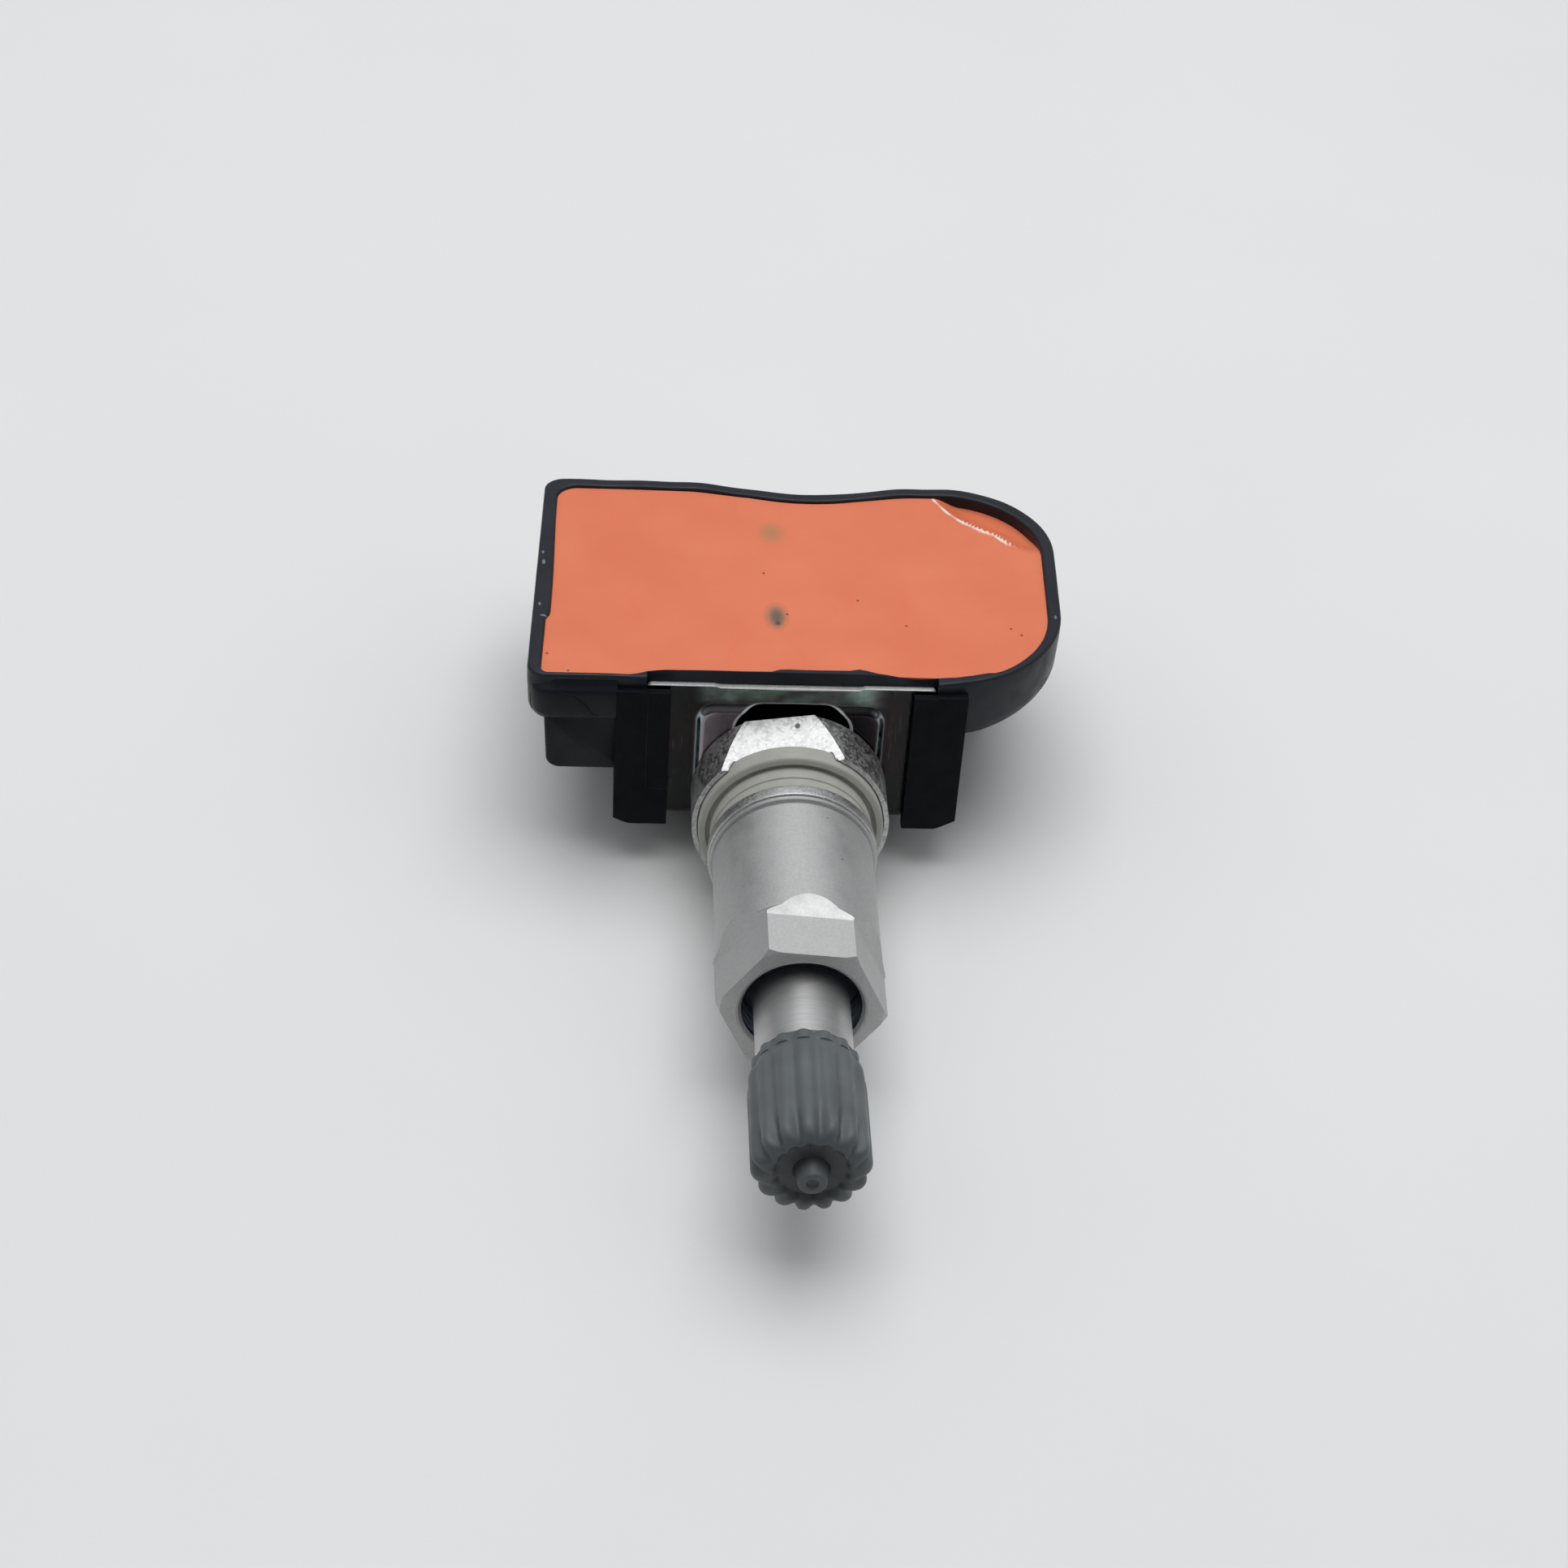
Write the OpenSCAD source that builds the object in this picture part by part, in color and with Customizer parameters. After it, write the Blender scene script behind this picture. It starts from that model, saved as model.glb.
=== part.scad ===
// Clamp-in tyre pressure sensor with a metal valve.
// A potted sensor housing slides onto a stamped bracket, and the valve stem is clamped to that
// bracket from behind. A grommet and a sleeve nut draw the stem against the wheel rim.
// The origin is on the valve axis, in the plane where the grommet seats on the rim.
// +X points right seen from the cap, +Y from the cap to the housing, +Z out of the potting.

/* [Housing] */
// Length of the housing, across the valve
housing_l = 46.5; // [44.5:0.5:52]
// Depth of the housing's rim, front to back
housing_w = 29.9; // [28.5:0.1:34]
// Height from the rim to the belly
housing_h = 17.7; // [16.5:0.1:20]
// Height of the rim above the valve axis
rim_h = 11.9; // [11.5:0.1:12.8]
// How far the middle of the housing lies to the right of the valve
housing_shift = 0.8; // [0:0.1:1.6]
// Height of the straight wall under the rim
band_h = 4.6; // [3.8:0.1:5.4]
// Thickness of the wall round the potting
wall_t = 1.2; // [0.9:0.1:1.6]
// Depth of the waist in the rear wall
waist_depth = 2; // [0.8:0.1:2.6]
// Radius of the round end at the rear
rear_lobe_r = 9.3; // [7:0.1:10]
// Radius of the round end at the front
front_lobe_r = 11.3; // [9:0.1:12]
// Radius of the corners at the square end
corner_r = 1.6; // [1:0.1:3]
// Width of the foot beside the left ear
foot_w = 5.4; // [4:0.1:6.5]
// Height of that foot
foot_h = 5.4; // [4:0.1:6.5]
// Radius of the pressure port
port_r = 0.8; // [0.6:0.1:1.2]

/* [Ears and bracket] */
// Width over both ears
ears_w = 29.7; // [28.9:0.1:31]
// Width between the ears' lips
mouth_w = 20.5; // [19.5:0.1:21.5]
// Height of the ears
ear_h = 14.4; // [13.6:0.1:15]
// How far the ears' tops lie below the rim
ear_drop = 1.2; // [0.9:0.1:1.5]
// Thickness of the ears' lips in front of the bracket
lip_t = 1.2; // [0.8:0.1:1.6]
// Width of the bracket
bracket_w = 24.4; // [23.6:0.1:25.4]
// Height of the bracket
bracket_h = 14.4; // [13.6:0.1:15]
// Thickness of the bracket's sheet
sheet_t = 0.8; // [0.6:0.05:1]
// Width of the raised pad that the flange sits on
pad_w = 16.4; // [15.4:0.1:17.4]
// Height of the pad above the sheet
pad_rise = 0.5; // [0.3:0.05:0.6]
// Width of the valve slot
slot_w = 9.8; // [9.4:0.1:10.4]
// Corner radius at the top of the slot
slot_r = 3.3; // [2.5:0.1:4]
// Inner radius of the bend at the bottom of the bracket
bend_r = 0.6; // [0.4:0.1:0.9]

/* [Valve] */
// Radius of the seat flange
flange_r = 8.4; // [8.2:0.1:9]
// Length of the seat flange along the valve
flange_l = 4.8; // [4.6:0.1:5.6]
// Thickness of the flange's floor, behind the grommet
flange_floor = 3.9; // [3.4:0.1:4.2]
// Angle of the flange's two bevelled flats to the valve
bevel_angle = 15; // [10:1:22]
// How far the flats are turned from upright
bevel_turn = 8.5; // [0:0.5:20]
// Thickness of the grommet's disc, from the flange to the rim
seat_t = 1.8; // [1.4:0.1:2.2]
// Length of the grommet's neck in front of its disc
neck_l = 2.45; // [2:0.05:3.5]
// Radius of the grommet's neck
neck_r = 6.85; // [6.5:0.05:7]
// Radius of the clamp washer
washer_r = 7.15; // [7:0.05:7.6]
// Thickness of the clamp washer
washer_t = 1.2; // [0.8:0.1:1.8]
// Outer radius of the sleeve nut's sleeve
sleeve_r = 6.73; // [6.5:0.01:6.9]
// Length of the sleeve nut
nut_l = 18.45; // [17:0.05:19.5]
// Width of the nut's hexagon across its flats
hex_af = 12; // [11.6:0.1:12.2]
// Length of the hexagon
hex_l = 4.5; // [3.5:0.1:6]
// Length of the sloped run-out behind each flat
runout_l = 2; // [1.5:0.1:3]
// How far the nut's top flat is turned from upright
hex_turn = 5; // [0:1:30]
// Radius of the clamp thread that the nut runs on
clamp_thread_r = 4.76; // [4.6:0.01:4.8]
// Radius of the valve's thread at the cap
valve_r = 3.87; // [3.75:0.01:3.95]
// Length of the valve in front of the grommet's seat
valve_l = 37.5; // [37:0.1:40]
// Radius of the passage through the valve
passage_r = 1.2; // [0.9:0.1:1.4]

/* [Cap] */
// Outer radius of the cap over its ribs
cap_r = 4.66; // [4.6:0.01:5]
// Length of the cap, without its knob
cap_l = 11.3; // [10:0.05:12]
// How far the knob on the cap's end stands out
cap_knob_l = 1.1; // [0.6:0.1:1.4]
// Number of ribs round the cap
cap_ribs = 15; // [12:1:18]
// Depth of the grooves between the ribs
rib_depth = 0.34; // [0.2:0.01:0.4]
// Thickness of the sealing disc inside the cap
cap_seal_t = 0.5; // [0.4:0.05:0.7]

/* [Valve core and rear screw] */
// Radius of the bore that holds the valve core
core_r = 2.6; // [2.5:0.05:2.7]
// Length of the core's body
core_l = 6.2; // [5.8:0.1:7]
// Radius of the core's pin
pin_r = 0.6; // [0.5:0.05:0.7]
// Travel of the pin when it is pressed
pin_travel = 1.5; // [1:0.1:1.8]
// Radius of the rear screw's shank
screw_r = 2; // [1.8:0.1:2.2]
// Length of the rear screw's shank
screw_l = 6.5; // [5.5:0.1:8]
// Radius of the rear screw's head
screw_head_r = 3.4; // [3.1:0.1:3.6]
// Height of the rear screw's head
screw_head_h = 2.4; // [2:0.1:2.5]
// Radius of the rear washer
rear_washer_r = 6.1; // [5.8:0.1:6.3]
// Thickness of the rear washer
rear_washer_t = 1; // [0.8:0.1:1.2]

/* [Electronics] */
// How far the potting lies below the rim
potting_sink = 0.35; // [0.2:0.05:0.6]
// Thickness of the potting over the board
potting_t = 3.85; // [3.6:0.05:4.2]
// Thickness of the circuit board
board_t = 1; // [0.8:0.1:1.2]
// Diameter of the coin cell
cell_d = 16; // [15.5:0.5:16.5]
// Thickness of the coin cell
cell_t = 3.2; // [2.5:0.1:3.4]
// Gap between the cell and the board
cell_gap = 1.2; // [0.8:0.1:1.5]
// Thickness of the battery tabs
tab_t = 0.2; // [0.15:0.05:0.3]
// Width of the battery tabs
tab_w = 3; // [2:0.1:4]

/* [Hidden] */
$fn = 72;
// Points in each rounded corner of an outline
CORNER_STEPS = 9;
// Clearance round a piece that slides into its place by hand
fit = 0.1;
// Clearance round a turned piece that is pressed or glued home
seat_fit = 0.03;
// Radial clearance of a thread
thread_fit = 0.06;
// Overshoot that lets a cut pass its surface
cut = 1;

// Places along the valve are distances in front of the bracket's front face
flange_d = pad_rise;
floor_d = flange_d + flange_floor;
seat_d = floor_d + seat_t;
neck_d = seat_d + neck_l;
nut_d = neck_d + washer_t;
nut_front_d = nut_d + nut_l;
valve_front_d = seat_d + valve_l;
cap_floor_d = valve_front_d + cap_seal_t;
cap_floor_t = 1.8;
cap_recess = 0.45;
cap_front_d = cap_floor_d + cap_floor_t;
cap_mouth_d = cap_front_d - cap_l;

// The housing's outline, seen from above, from the valve's plane and the bracket's front face
left_x = housing_shift - housing_l / 2;
right_x = housing_shift + housing_l / 2;
front_y = -0.5;
back_y = front_y + housing_w;
side_lean = 0.9;
waist_left = 10.4;
waist_right = 8.6;
waist_r = 20;
lobe_gap = 3.75;
waist_x = right_x - rear_lobe_r - lobe_gap - waist_right;
shoulder_r = 14;

// The ears and the bracket share one middle, a little left of the valve
bracket_x = -0.2;
ear_top = -ear_drop;
ear_bottom = ear_top - ear_h;
bracket_top = ear_top - 0.05;
bracket_bottom = bracket_top - bracket_h;
pad_top = bracket_top - 1.7;
pad_low = bracket_bottom + sheet_t + bend_r + 0.2;
pad_slope = 0.9;
slot_top = pad_top - 0.1;
brow_y = 0.4;
// The front of the tub behind the bracket, and the level of the step where the potting runs
// forward over the bracket's groove
tub_front = sheet_t + 2 * fit + 0.6;
near_step = 0.3;
step_z = ear_top + 0.35;
pocket_w = 2 * rear_washer_r + 1.2;
pocket_roof = 0.5;
pocket_y = sheet_t + rear_washer_t + screw_head_h + 0.4;
shank_r = slot_w / 2 - 0.4;
collar_r = 5.6;
collar_l = 1;

// The electronics, below the rim
board_top = -potting_sink - potting_t;
board_bottom = board_top - board_t;
cell_top = board_bottom - cell_gap;
cell_bottom = cell_top - cell_t;
cell_x = -1.3;
cell_y = pocket_y + wall_t + cell_d / 2;
post_top = -potting_sink - 0.35;
post_w = 0.9;
minus_y = cell_y - 4.7;
plus_y = cell_y + cell_d / 2 + seat_fit;
chip = [5, 4, 1.6];
chip_at = [right_x - 10.85, cell_y + 5.2];
port_seal_t = 1.4;
coil = [2.6, 9, 2.6];
coil_at = [left_x + 6.45, cell_y + 0.2];
coil_end_t = 1.2;
coil_waist = 0.6;
crystal = [3.2, 2.5, 0.9];
crystal_at = [cell_x + cell_d / 2 + 2.8, cell_y - 5.8];

// The core's places along the valve
core_sink = 0.5;
core_front_d = valve_front_d - core_sink;
core_rear_d = core_front_d - core_l;
core_neck_r = core_r - 0.5;
gasket_sink = 0.4;
gasket_l = 0.9;
shoulder_d = core_rear_d + gasket_sink + gasket_l + 0.1;
core_cup_l = 1;
core_cup_r = core_r - 0.95;
spring_seat_d = core_rear_d + 2.4;
pin_head_d = core_front_d - 0.7;
pin_head_t = 0.3;

// Places children in front of the bracket, with +Z along the valve towards the cap
module on_valve(d = 0) {
    translate([0, seat_d - d, 0]) rotate([90, 0, 0]) children();
}

// Places children with the rim at z = 0 and the bracket's front face at y = 0
module at_rim() {
    translate([0, seat_d, rim_h]) children();
}

// A ring or shaft turned from a list of [radius, distance along the valve]
module turned(profile) {
    rotate_extrude(convexity = 6) polygon(profile);
}

function unit(v) = v / norm(v);

// The arc that rounds corner c between its neighbours p and q with radius r
function corner_arc(p, c, q, r) =
    let (
        u = unit(p - c),
        v = unit(q - c),
        half = acos(u * v) / 2,
        start = c + u * r / tan(half),
        centre = c + unit(u + v) * r / sin(half),
        side = cross(c - p, q - c) > 0 ? 1 : -1,
        first = atan2(start.y - centre.y, start.x - centre.x),
        sweep = side * (180 - 2 * half)
    )
    [for (k = [0:CORNER_STEPS])
        let (a = first + sweep * k / CORNER_STEPS) centre + r * [cos(a), sin(a)]];

// A closed outline from corners [x, y, radius], each rounded by an arc
function rounded(corners) =
    let (n = len(corners))
    [for (i = [0:n - 1])
        let (p = corners[(i + n - 1) % n], c = corners[i], q = corners[(i + 1) % n])
        each corner_arc([p.x, p.y], [c.x, c.y], [q.x, q.y], c[2])];

// The housing's outline, drawn in by side, front and back, with its radii scaled by k
function housing_outline(side, front, back, k) =
    let (
        x0 = left_x + side,
        x1 = right_x - side,
        y0 = front_y + front,
        y1 = back_y - back
    )
    rounded([
        [x0 - 0.15, y0, corner_r + 3 * (1 - k)],
        [x1 - side_lean, y0, front_lobe_r * k],
        [x1 + 0.4, y1, rear_lobe_r * k],
        [waist_x + waist_right, y1 - 0.2, shoulder_r * k],
        [waist_x, y1 - waist_depth, waist_r * k],
        [waist_x - waist_left, y1, shoulder_r * k],
        [x0 + side_lean, y1, corner_r + 3 * (1 - k)]]);

// A solid through outlines of equal length, each [height, outline], from the bottom up
module loft(sections) {
    n = len(sections[0][1]);
    top = len(sections) - 1;
    polyhedron(
        points = [for (s = sections) for (p = s[1]) [p.x, p.y, s[0]]],
        faces = concat(
            [[for (i = [0:n - 1]) i]],
            [for (j = [0:top - 1]) for (i = [0:n - 1])
                let (a = j * n + i, b = j * n + (i + 1) % n) [a, a + n, b + n, b]],
            [[for (i = [n - 1:-1:0]) top * n + i]]),
        convexity = 8);
}

// The moulded tub, ears and foot before anything is cut from them
module housing_body() {
    rim_round = 0.3;
    lead_in = 0.3;
    inside = wall_t + 1;
    block_rise_y = 3;
    block_back_y = 17.2;
    foot_set = 0.2;
    loft([
        [-housing_h, housing_outline(5.4, 17.4, 4, 0.32)],
        [-housing_h + 0.5, housing_outline(4.5, 16.5, 3.1, 0.36)],
        [-housing_h + 1.7, housing_outline(3.6, 15, 2.4, 0.42)],
        [-band_h - 2.4, housing_outline(0.9, 3.4, 0.7, 0.85)],
        [-band_h, housing_outline(0.25, 0.3, 0.2, 0.97)],
        [-rim_round, housing_outline(0, 0, 0, 1)],
        [0, housing_outline(rim_round, rim_round, rim_round, 0.97)],
        [0, housing_outline(inside, inside, inside, 0.75)],
        [-cut, housing_outline(inside, inside, inside, 0.75)]]);
    // Block that carries the ears and closes the housing behind the bracket
    translate([bracket_x - ears_w / 2, 0, 0]) rotate([90, 0, 90])
        linear_extrude(ears_w) polygon([
            [-lip_t, ear_top], [-lip_t, ear_bottom + lead_in], [-lip_t + lead_in, ear_bottom],
            [block_rise_y, ear_bottom], [block_back_y, -housing_h], [block_back_y, ear_top]]);
    // Ledge that runs left from the left ear, as high as the ears' tops
    loft([
        [-band_h, ledge_outline(0.9)], [-band_h + 0.25, ledge_outline(0.4)],
        [-band_h + 0.9, ledge_outline(0)], [ear_top, ledge_outline(0)],
        [-0.25, ledge_outline(0.75)]]);
    // Foot under that ledge
    translate([bracket_x - ears_w / 2 - foot_w, -foot_set, -band_h - foot_h])
        foot();
}

// The ledge's outline, drawn in by in on its open sides
function ledge_outline(in) =
    let (x0 = left_x + 0.2 + in, x1 = bracket_x - ears_w / 2 + 0.6, y0 = -lip_t + in, y1 = 2.6)
    rounded([[x0, y0, corner_r], [x1, y0, 0.4], [x1, y1, 0.4], [x0, y1, 0.4]]);

// A foot with a rounded lower corner on its outer side
module foot() {
    foot_r = 1.2;
    foot_l = 7;
    translate([0, foot_l, 0]) rotate([90, 0, 0]) linear_extrude(foot_l) polygon(concat(
        [for (a = [180:15:270]) [foot_r + foot_r * cos(a), foot_r + foot_r * sin(a)]],
        [[foot_w + cut, 0], [foot_w + cut, foot_h + cut], [0, foot_h + cut]]));
}

// The outline of the potting, inside the wall. Its edge lies at near behind the bracket, with a
// small step to the right of the middle, and comes forward beyond the bracket's left edge by set
function potting_outline(near, set) =
    let (
        x0 = left_x + wall_t,
        x1 = right_x - wall_t,
        y1 = back_y - wall_t,
        bracket_left = bracket_x - bracket_w / 2
    )
    rounded([
        [x0 - 0.15, front_y + 0.5, 0.5],
        [bracket_left - set - 0.6, front_y + 0.5, 0.3],
        [bracket_left - set, near, 0.3],
        [-0.9, near, 0.1],
        [-0.5, near + near_step, 0.1],
        [x1 - side_lean, near + near_step, front_lobe_r - wall_t],
        [x1 + 0.4, y1, rear_lobe_r - wall_t],
        [waist_x + waist_right, y1 - 0.2, shoulder_r - wall_t],
        [waist_x, y1 - waist_depth, waist_r + wall_t],
        [waist_x - waist_left, y1, shoulder_r - wall_t],
        [x0 + side_lean, y1, 0.8]]);

// The board's outline, with a gap to the wall all round
function board_outline() = rounded([
    [left_x + wall_t + fit, tub_front + near_step + fit, 0.5],
    [right_x - wall_t - side_lean - fit, tub_front + near_step + fit, front_lobe_r - wall_t - fit],
    [right_x - wall_t + 0.3 - fit, back_y - wall_t - 1.6 - waist_depth, 7],
    [left_x + wall_t + side_lean + fit, back_y - wall_t - 1.6 - waist_depth, 0.5]]);

module prism(outline, z0, z1) {
    translate([0, 0, z0]) linear_extrude(z1 - z0) polygon(outline);
}

// The inside of the wall between two levels, wider above the bracket's groove
module tub(z0, z1) {
    prism(potting_outline(tub_front, 1), z0, step_z);
    prism(potting_outline(brow_y + 0.2, 0.2), step_z, z1);
}

// A box given by its middle in plan, its lowest level and its size
module block(at, z0, size) {
    translate([at.x - size.x / 2, at.y - size.y / 2, z0]) cube(size);
}

module housing() color("#2b2f36") at_rim() difference() {
    housing_body();
    // Tub for the potting and the board
    tub(board_bottom, cut);
    // Well for the cell, with a notch for the tab at its side
    translate([cell_x, cell_y, cell_bottom]) cylinder(d = cell_d + 2 * fit, h = cell_t + cell_gap + cut);
    block([cell_x, plus_y + tab_t / 2], cell_bottom,
        [tab_w + 2 * fit, 3 * tab_t + 2 * fit, board_bottom - cell_bottom + cut]);
    // Well for the pressure chip, and the port through the belly
    block(chip_at, board_bottom - chip.z - port_seal_t, chip + [2 * fit, 2 * fit, port_seal_t + cut]);
    translate([chip_at.x, chip_at.y, -housing_h - cut]) cylinder(r = port_r, h = housing_h);
    bracket_groove();
    valve_pocket();
    ear_chamfers();
}

// The groove that the bracket slides up into, and the mouth between the ears
module bracket_groove() {
    groove_w = bracket_w + 2 * fit;
    translate([bracket_x - groove_w / 2, -seat_fit, -housing_h - cut])
        cube([groove_w, sheet_t + 2 * fit, housing_h + cut + ear_top]);
    translate([bracket_x - groove_w / 2, -lip_t - cut, ear_top - fit])
        cube([groove_w, lip_t + cut + brow_y, cut + ear_drop + fit]);
    translate([bracket_x - mouth_w / 2, -lip_t - cut, -housing_h - cut])
        cube([mouth_w, lip_t + cut + fit, housing_h + cut + ear_top + fit]);
    // Room for the turned-back foot of the bracket
    translate([bracket_x - groove_w / 2, 0, -housing_h - cut])
        cube([groove_w, bend_r + 3.4, housing_h + cut + bracket_bottom + sheet_t + bend_r + fit]);
}

// The pocket behind the slot, for the rear washer and the head of the rear screw
module valve_pocket() {
    translate([-pocket_w / 2, 0, -housing_h - cut])
        cube([pocket_w, pocket_y, housing_h + cut + board_bottom - pocket_roof]);
}

// Chamfers at the outer lower corners of the ears
module ear_chamfers() {
    for (end = [[bracket_x - ears_w / 2, 1, 1.6, 0.8], [bracket_x + ears_w / 2, -1, 2, 1.1]])
        translate([end[0], 5.2, ear_bottom]) rotate([90, 0, 0])
            linear_extrude(5.2 + lip_t + cut) polygon([
                [-end[1] * cut, -cut], [end[1] * (end[2] + end[2] / end[3] * cut), -cut],
                [-end[1] * cut, end[3] + end[3] / end[2] * cut]]);
}

module potting() color("#de7e60") at_rim() difference() {
    tub(board_top, -potting_sink);
    for (at = [[cell_x, minus_y], [cell_x, plus_y + tab_t / 2]])
        block(at, board_top - cut, [post_w + 2 * fit, tab_t + 2 * fit, post_top - board_top + cut + fit]);
    block(crystal_at, board_top - cut, crystal + [2 * fit, 2 * fit, cut + fit]);
    block(coil_at, board_top - cut, coil + [2 * fit, 2 * fit, cut + fit]);
}

module circuit_board() color("#1d5a3c") at_rim() difference() {
    prism(board_outline(), board_bottom, board_top);
    block([cell_x, minus_y], board_bottom - cut, [post_w + 2 * fit, tab_t + 2 * fit, board_t + 2 * cut]);
    block([cell_x, plus_y + tab_t / 2], board_bottom - cut,
        [tab_w + 2 * fit, tab_t + 2 * fit, board_t + 2 * cut]);
}

module coin_cell() color("#c2c4c6") at_rim() translate([cell_x, cell_y, cell_bottom]) {
    rim_step = 0.6;
    rotate_extrude() polygon([
        [0, 0], [cell_d / 2 - 0.3, 0], [cell_d / 2, 0.3], [cell_d / 2, cell_t - 0.7],
        [cell_d / 2 - rim_step, cell_t - 0.3], [cell_d / 2 - 2 * rim_step, cell_t - 0.3],
        [cell_d / 2 - 2 * rim_step - 0.3, cell_t], [0, cell_t]]);
}

// A strip welded on the cell's cap, with a post up through the board
module battery_tab_minus() color("#b9b4a8") at_rim() {
    block([cell_x, minus_y + 1.5], cell_top, [tab_w, 3 + tab_t, tab_t]);
    block([cell_x, minus_y], cell_top, [post_w, tab_t, post_top - cell_top]);
}

// A strip welded on the cell's side, with a post up through the board
module battery_tab_plus() color("#b9b4a8") at_rim() {
    block([cell_x, plus_y + tab_t / 2], cell_bottom + 0.4, [tab_w, tab_t, board_top - cell_bottom - 0.4]);
    block([cell_x, plus_y + tab_t / 2], board_top, [post_w, tab_t, post_top - board_top]);
}

module pressure_chip() color("#26272b") at_rim() {
    port_rim_r = port_r + 0.5;
    block(chip_at, board_bottom - chip.z, chip);
    translate([chip_at.x, chip_at.y, board_bottom - chip.z - 0.3]) difference() {
        cylinder(r = port_rim_r, h = 0.3);
        translate([0, 0, -cut]) cylinder(r = port_r, h = 2 * cut);
    }
}

module port_seal() color("#3a3b3d") at_rim()
    translate([chip_at.x, chip_at.y, board_bottom - chip.z - port_seal_t]) difference() {
        cylinder(r = port_r + 1.1, h = port_seal_t);
        translate([0, 0, -cut]) cylinder(r = port_r, h = port_seal_t + 2 * cut);
        translate([0, 0, port_seal_t - 0.3]) cylinder(r = port_r + 0.5 + seat_fit, h = cut);
    }

module crystal() color("#cfcabb") at_rim() block(crystal_at, board_top, crystal);

// A ferrite bar with a flange at each end
module lf_coil_core() color("#3b3a3c") at_rim() {
    for (end = [-1, 1])
        block(coil_at + [0, end * (coil.y - coil_end_t) / 2], board_top, [coil.x, coil_end_t, coil.z]);
    block(coil_at, board_top + coil_waist,
        [coil.x - 2 * coil_waist, coil.y - coil_end_t, coil.z - 2 * coil_waist]);
}

// The wire wound round that bar
module lf_coil_winding() color("#a6572c") at_rim() difference() {
    below = 0.2;
    block(coil_at, board_top + below, [coil.x - 2 * below, coil.y - 2 * coil_end_t, coil.z - 2 * below]);
    block(coil_at, board_top + coil_waist, [coil.x - 2 * coil_waist, coil.y, coil.z - 2 * coil_waist]);
}

// The bracket's sheet seen from the side: a plate with its lower edge rolled back
function sheet_section() =
    let (c = [sheet_t + bend_r, bracket_bottom + sheet_t + bend_r], outer = sheet_t + bend_r)
    concat(
        [[0, bracket_top]],
        [for (a = [180:15:270]) c + outer * [cos(a), sin(a)]],
        [[c.x + 1.2, bracket_bottom], [c.x + 1.2, bracket_bottom + sheet_t]],
        [for (a = [270:-15:180]) c + bend_r * [cos(a), sin(a)]],
        [[sheet_t, bracket_top]]);

// The pressed pad: a rounded rectangle with sloped sides, from front to back
module pad_form() {
    x0 = bracket_x - pad_w / 2;
    x1 = bracket_x + pad_w / 2;
    function pad_outline(in) = rounded([
        [x0 + in, pad_low + in, 1.5], [x1 - in, pad_low + in, 1.5],
        [x1 - in, pad_top - in, 1.5], [x0 + in, pad_top - in, 1.5]]);
    rotate([90, 0, 0]) loft([[-0.2, pad_outline(0)], [0, pad_outline(0)],
        [pad_rise, pad_outline(pad_slope)]]);
}

// The slot's outline, open at the bottom
function slot_outline() = rounded([
    [-slot_w / 2, -housing_h - cut, 0.5], [slot_w / 2, -housing_h - cut, 0.5],
    [slot_w / 2, slot_top, slot_r], [-slot_w / 2, slot_top, slot_r]]);

module bracket() color("#4a4f55") at_rim() difference() {
    union() {
        translate([bracket_x - bracket_w / 2, 0, 0]) rotate([90, 0, 90])
            linear_extrude(bracket_w) polygon(sheet_section());
        pad_form();
    }
    translate([0, sheet_t, 0]) pad_form();
    translate([0, sheet_t + 4, 0]) rotate([90, 0, 0]) linear_extrude(8) polygon(slot_outline());
    // Shallow notch in the top edge
    translate([bracket_x - 6.4, -cut, bracket_top - 0.35]) cube([12.4, sheet_t + 2 * cut, cut]);
}

// Clamps the bracket from behind; a tongue in the slot's open end keeps it from turning
module rear_washer() color("#b4b7ba") difference() {
    shoulder_z = pad_low + pad_slope + rim_h + fit;
    tongue_w = slot_w - 0.6;
    on_valve(pad_rise - sheet_t - rear_washer_t) difference() {
        cylinder(r = rear_washer_r, h = rear_washer_t);
        translate([0, 0, -cut]) cylinder(r = screw_r + fit, h = rear_washer_t + 2 * cut);
    }
    for (side = [0, 1]) mirror([side, 0, 0])
        translate([tongue_w / 2, 0, shoulder_z - 2 * rear_washer_r])
            cube([rear_washer_r, 2 * seat_d, 2 * rear_washer_r]);
}

// Hollow screw that holds the valve to the bracket and passes air to the sensor
module rear_screw() color("#9aa0a6") on_valve(pad_rise - sheet_t - rear_washer_t) difference() {
    union() {
        translate([0, 0, -screw_head_h]) cylinder(r = screw_head_r, h = screw_head_h);
        cylinder(r = screw_r, h = screw_l);
    }
    translate([0, 0, -screw_head_h - cut])
        cylinder(r = screw_r * 0.4, h = screw_head_h + screw_l + 2 * cut);
    // Hexagon socket in the head
    translate([0, 0, -screw_head_h - cut]) cylinder(r = screw_head_r * 0.5, h = 1.5 + cut, $fn = 6);
}

module seat_flange() color("#c3c6c8") on_valve() difference() {
    translate([0, 0, flange_d]) cylinder(r = flange_r, h = flange_l);
    translate([0, 0, floor_d]) cylinder(r = flange_r - 0.42, h = flange_l);
    translate([0, 0, flange_d - cut]) cylinder(r = shank_r + seat_fit, h = flange_l + 2 * cut);
    // Two bevelled flats, opposite each other
    for (side = [0, 180])
        rotate([0, 0, 90 + bevel_turn + side]) translate([flange_r * 0.95, 0, flange_d])
            rotate([0, -bevel_angle, 0]) translate([0, -flange_r, -2])
                cube([flange_r, 2 * flange_r, flange_l + 4]);
}

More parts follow.
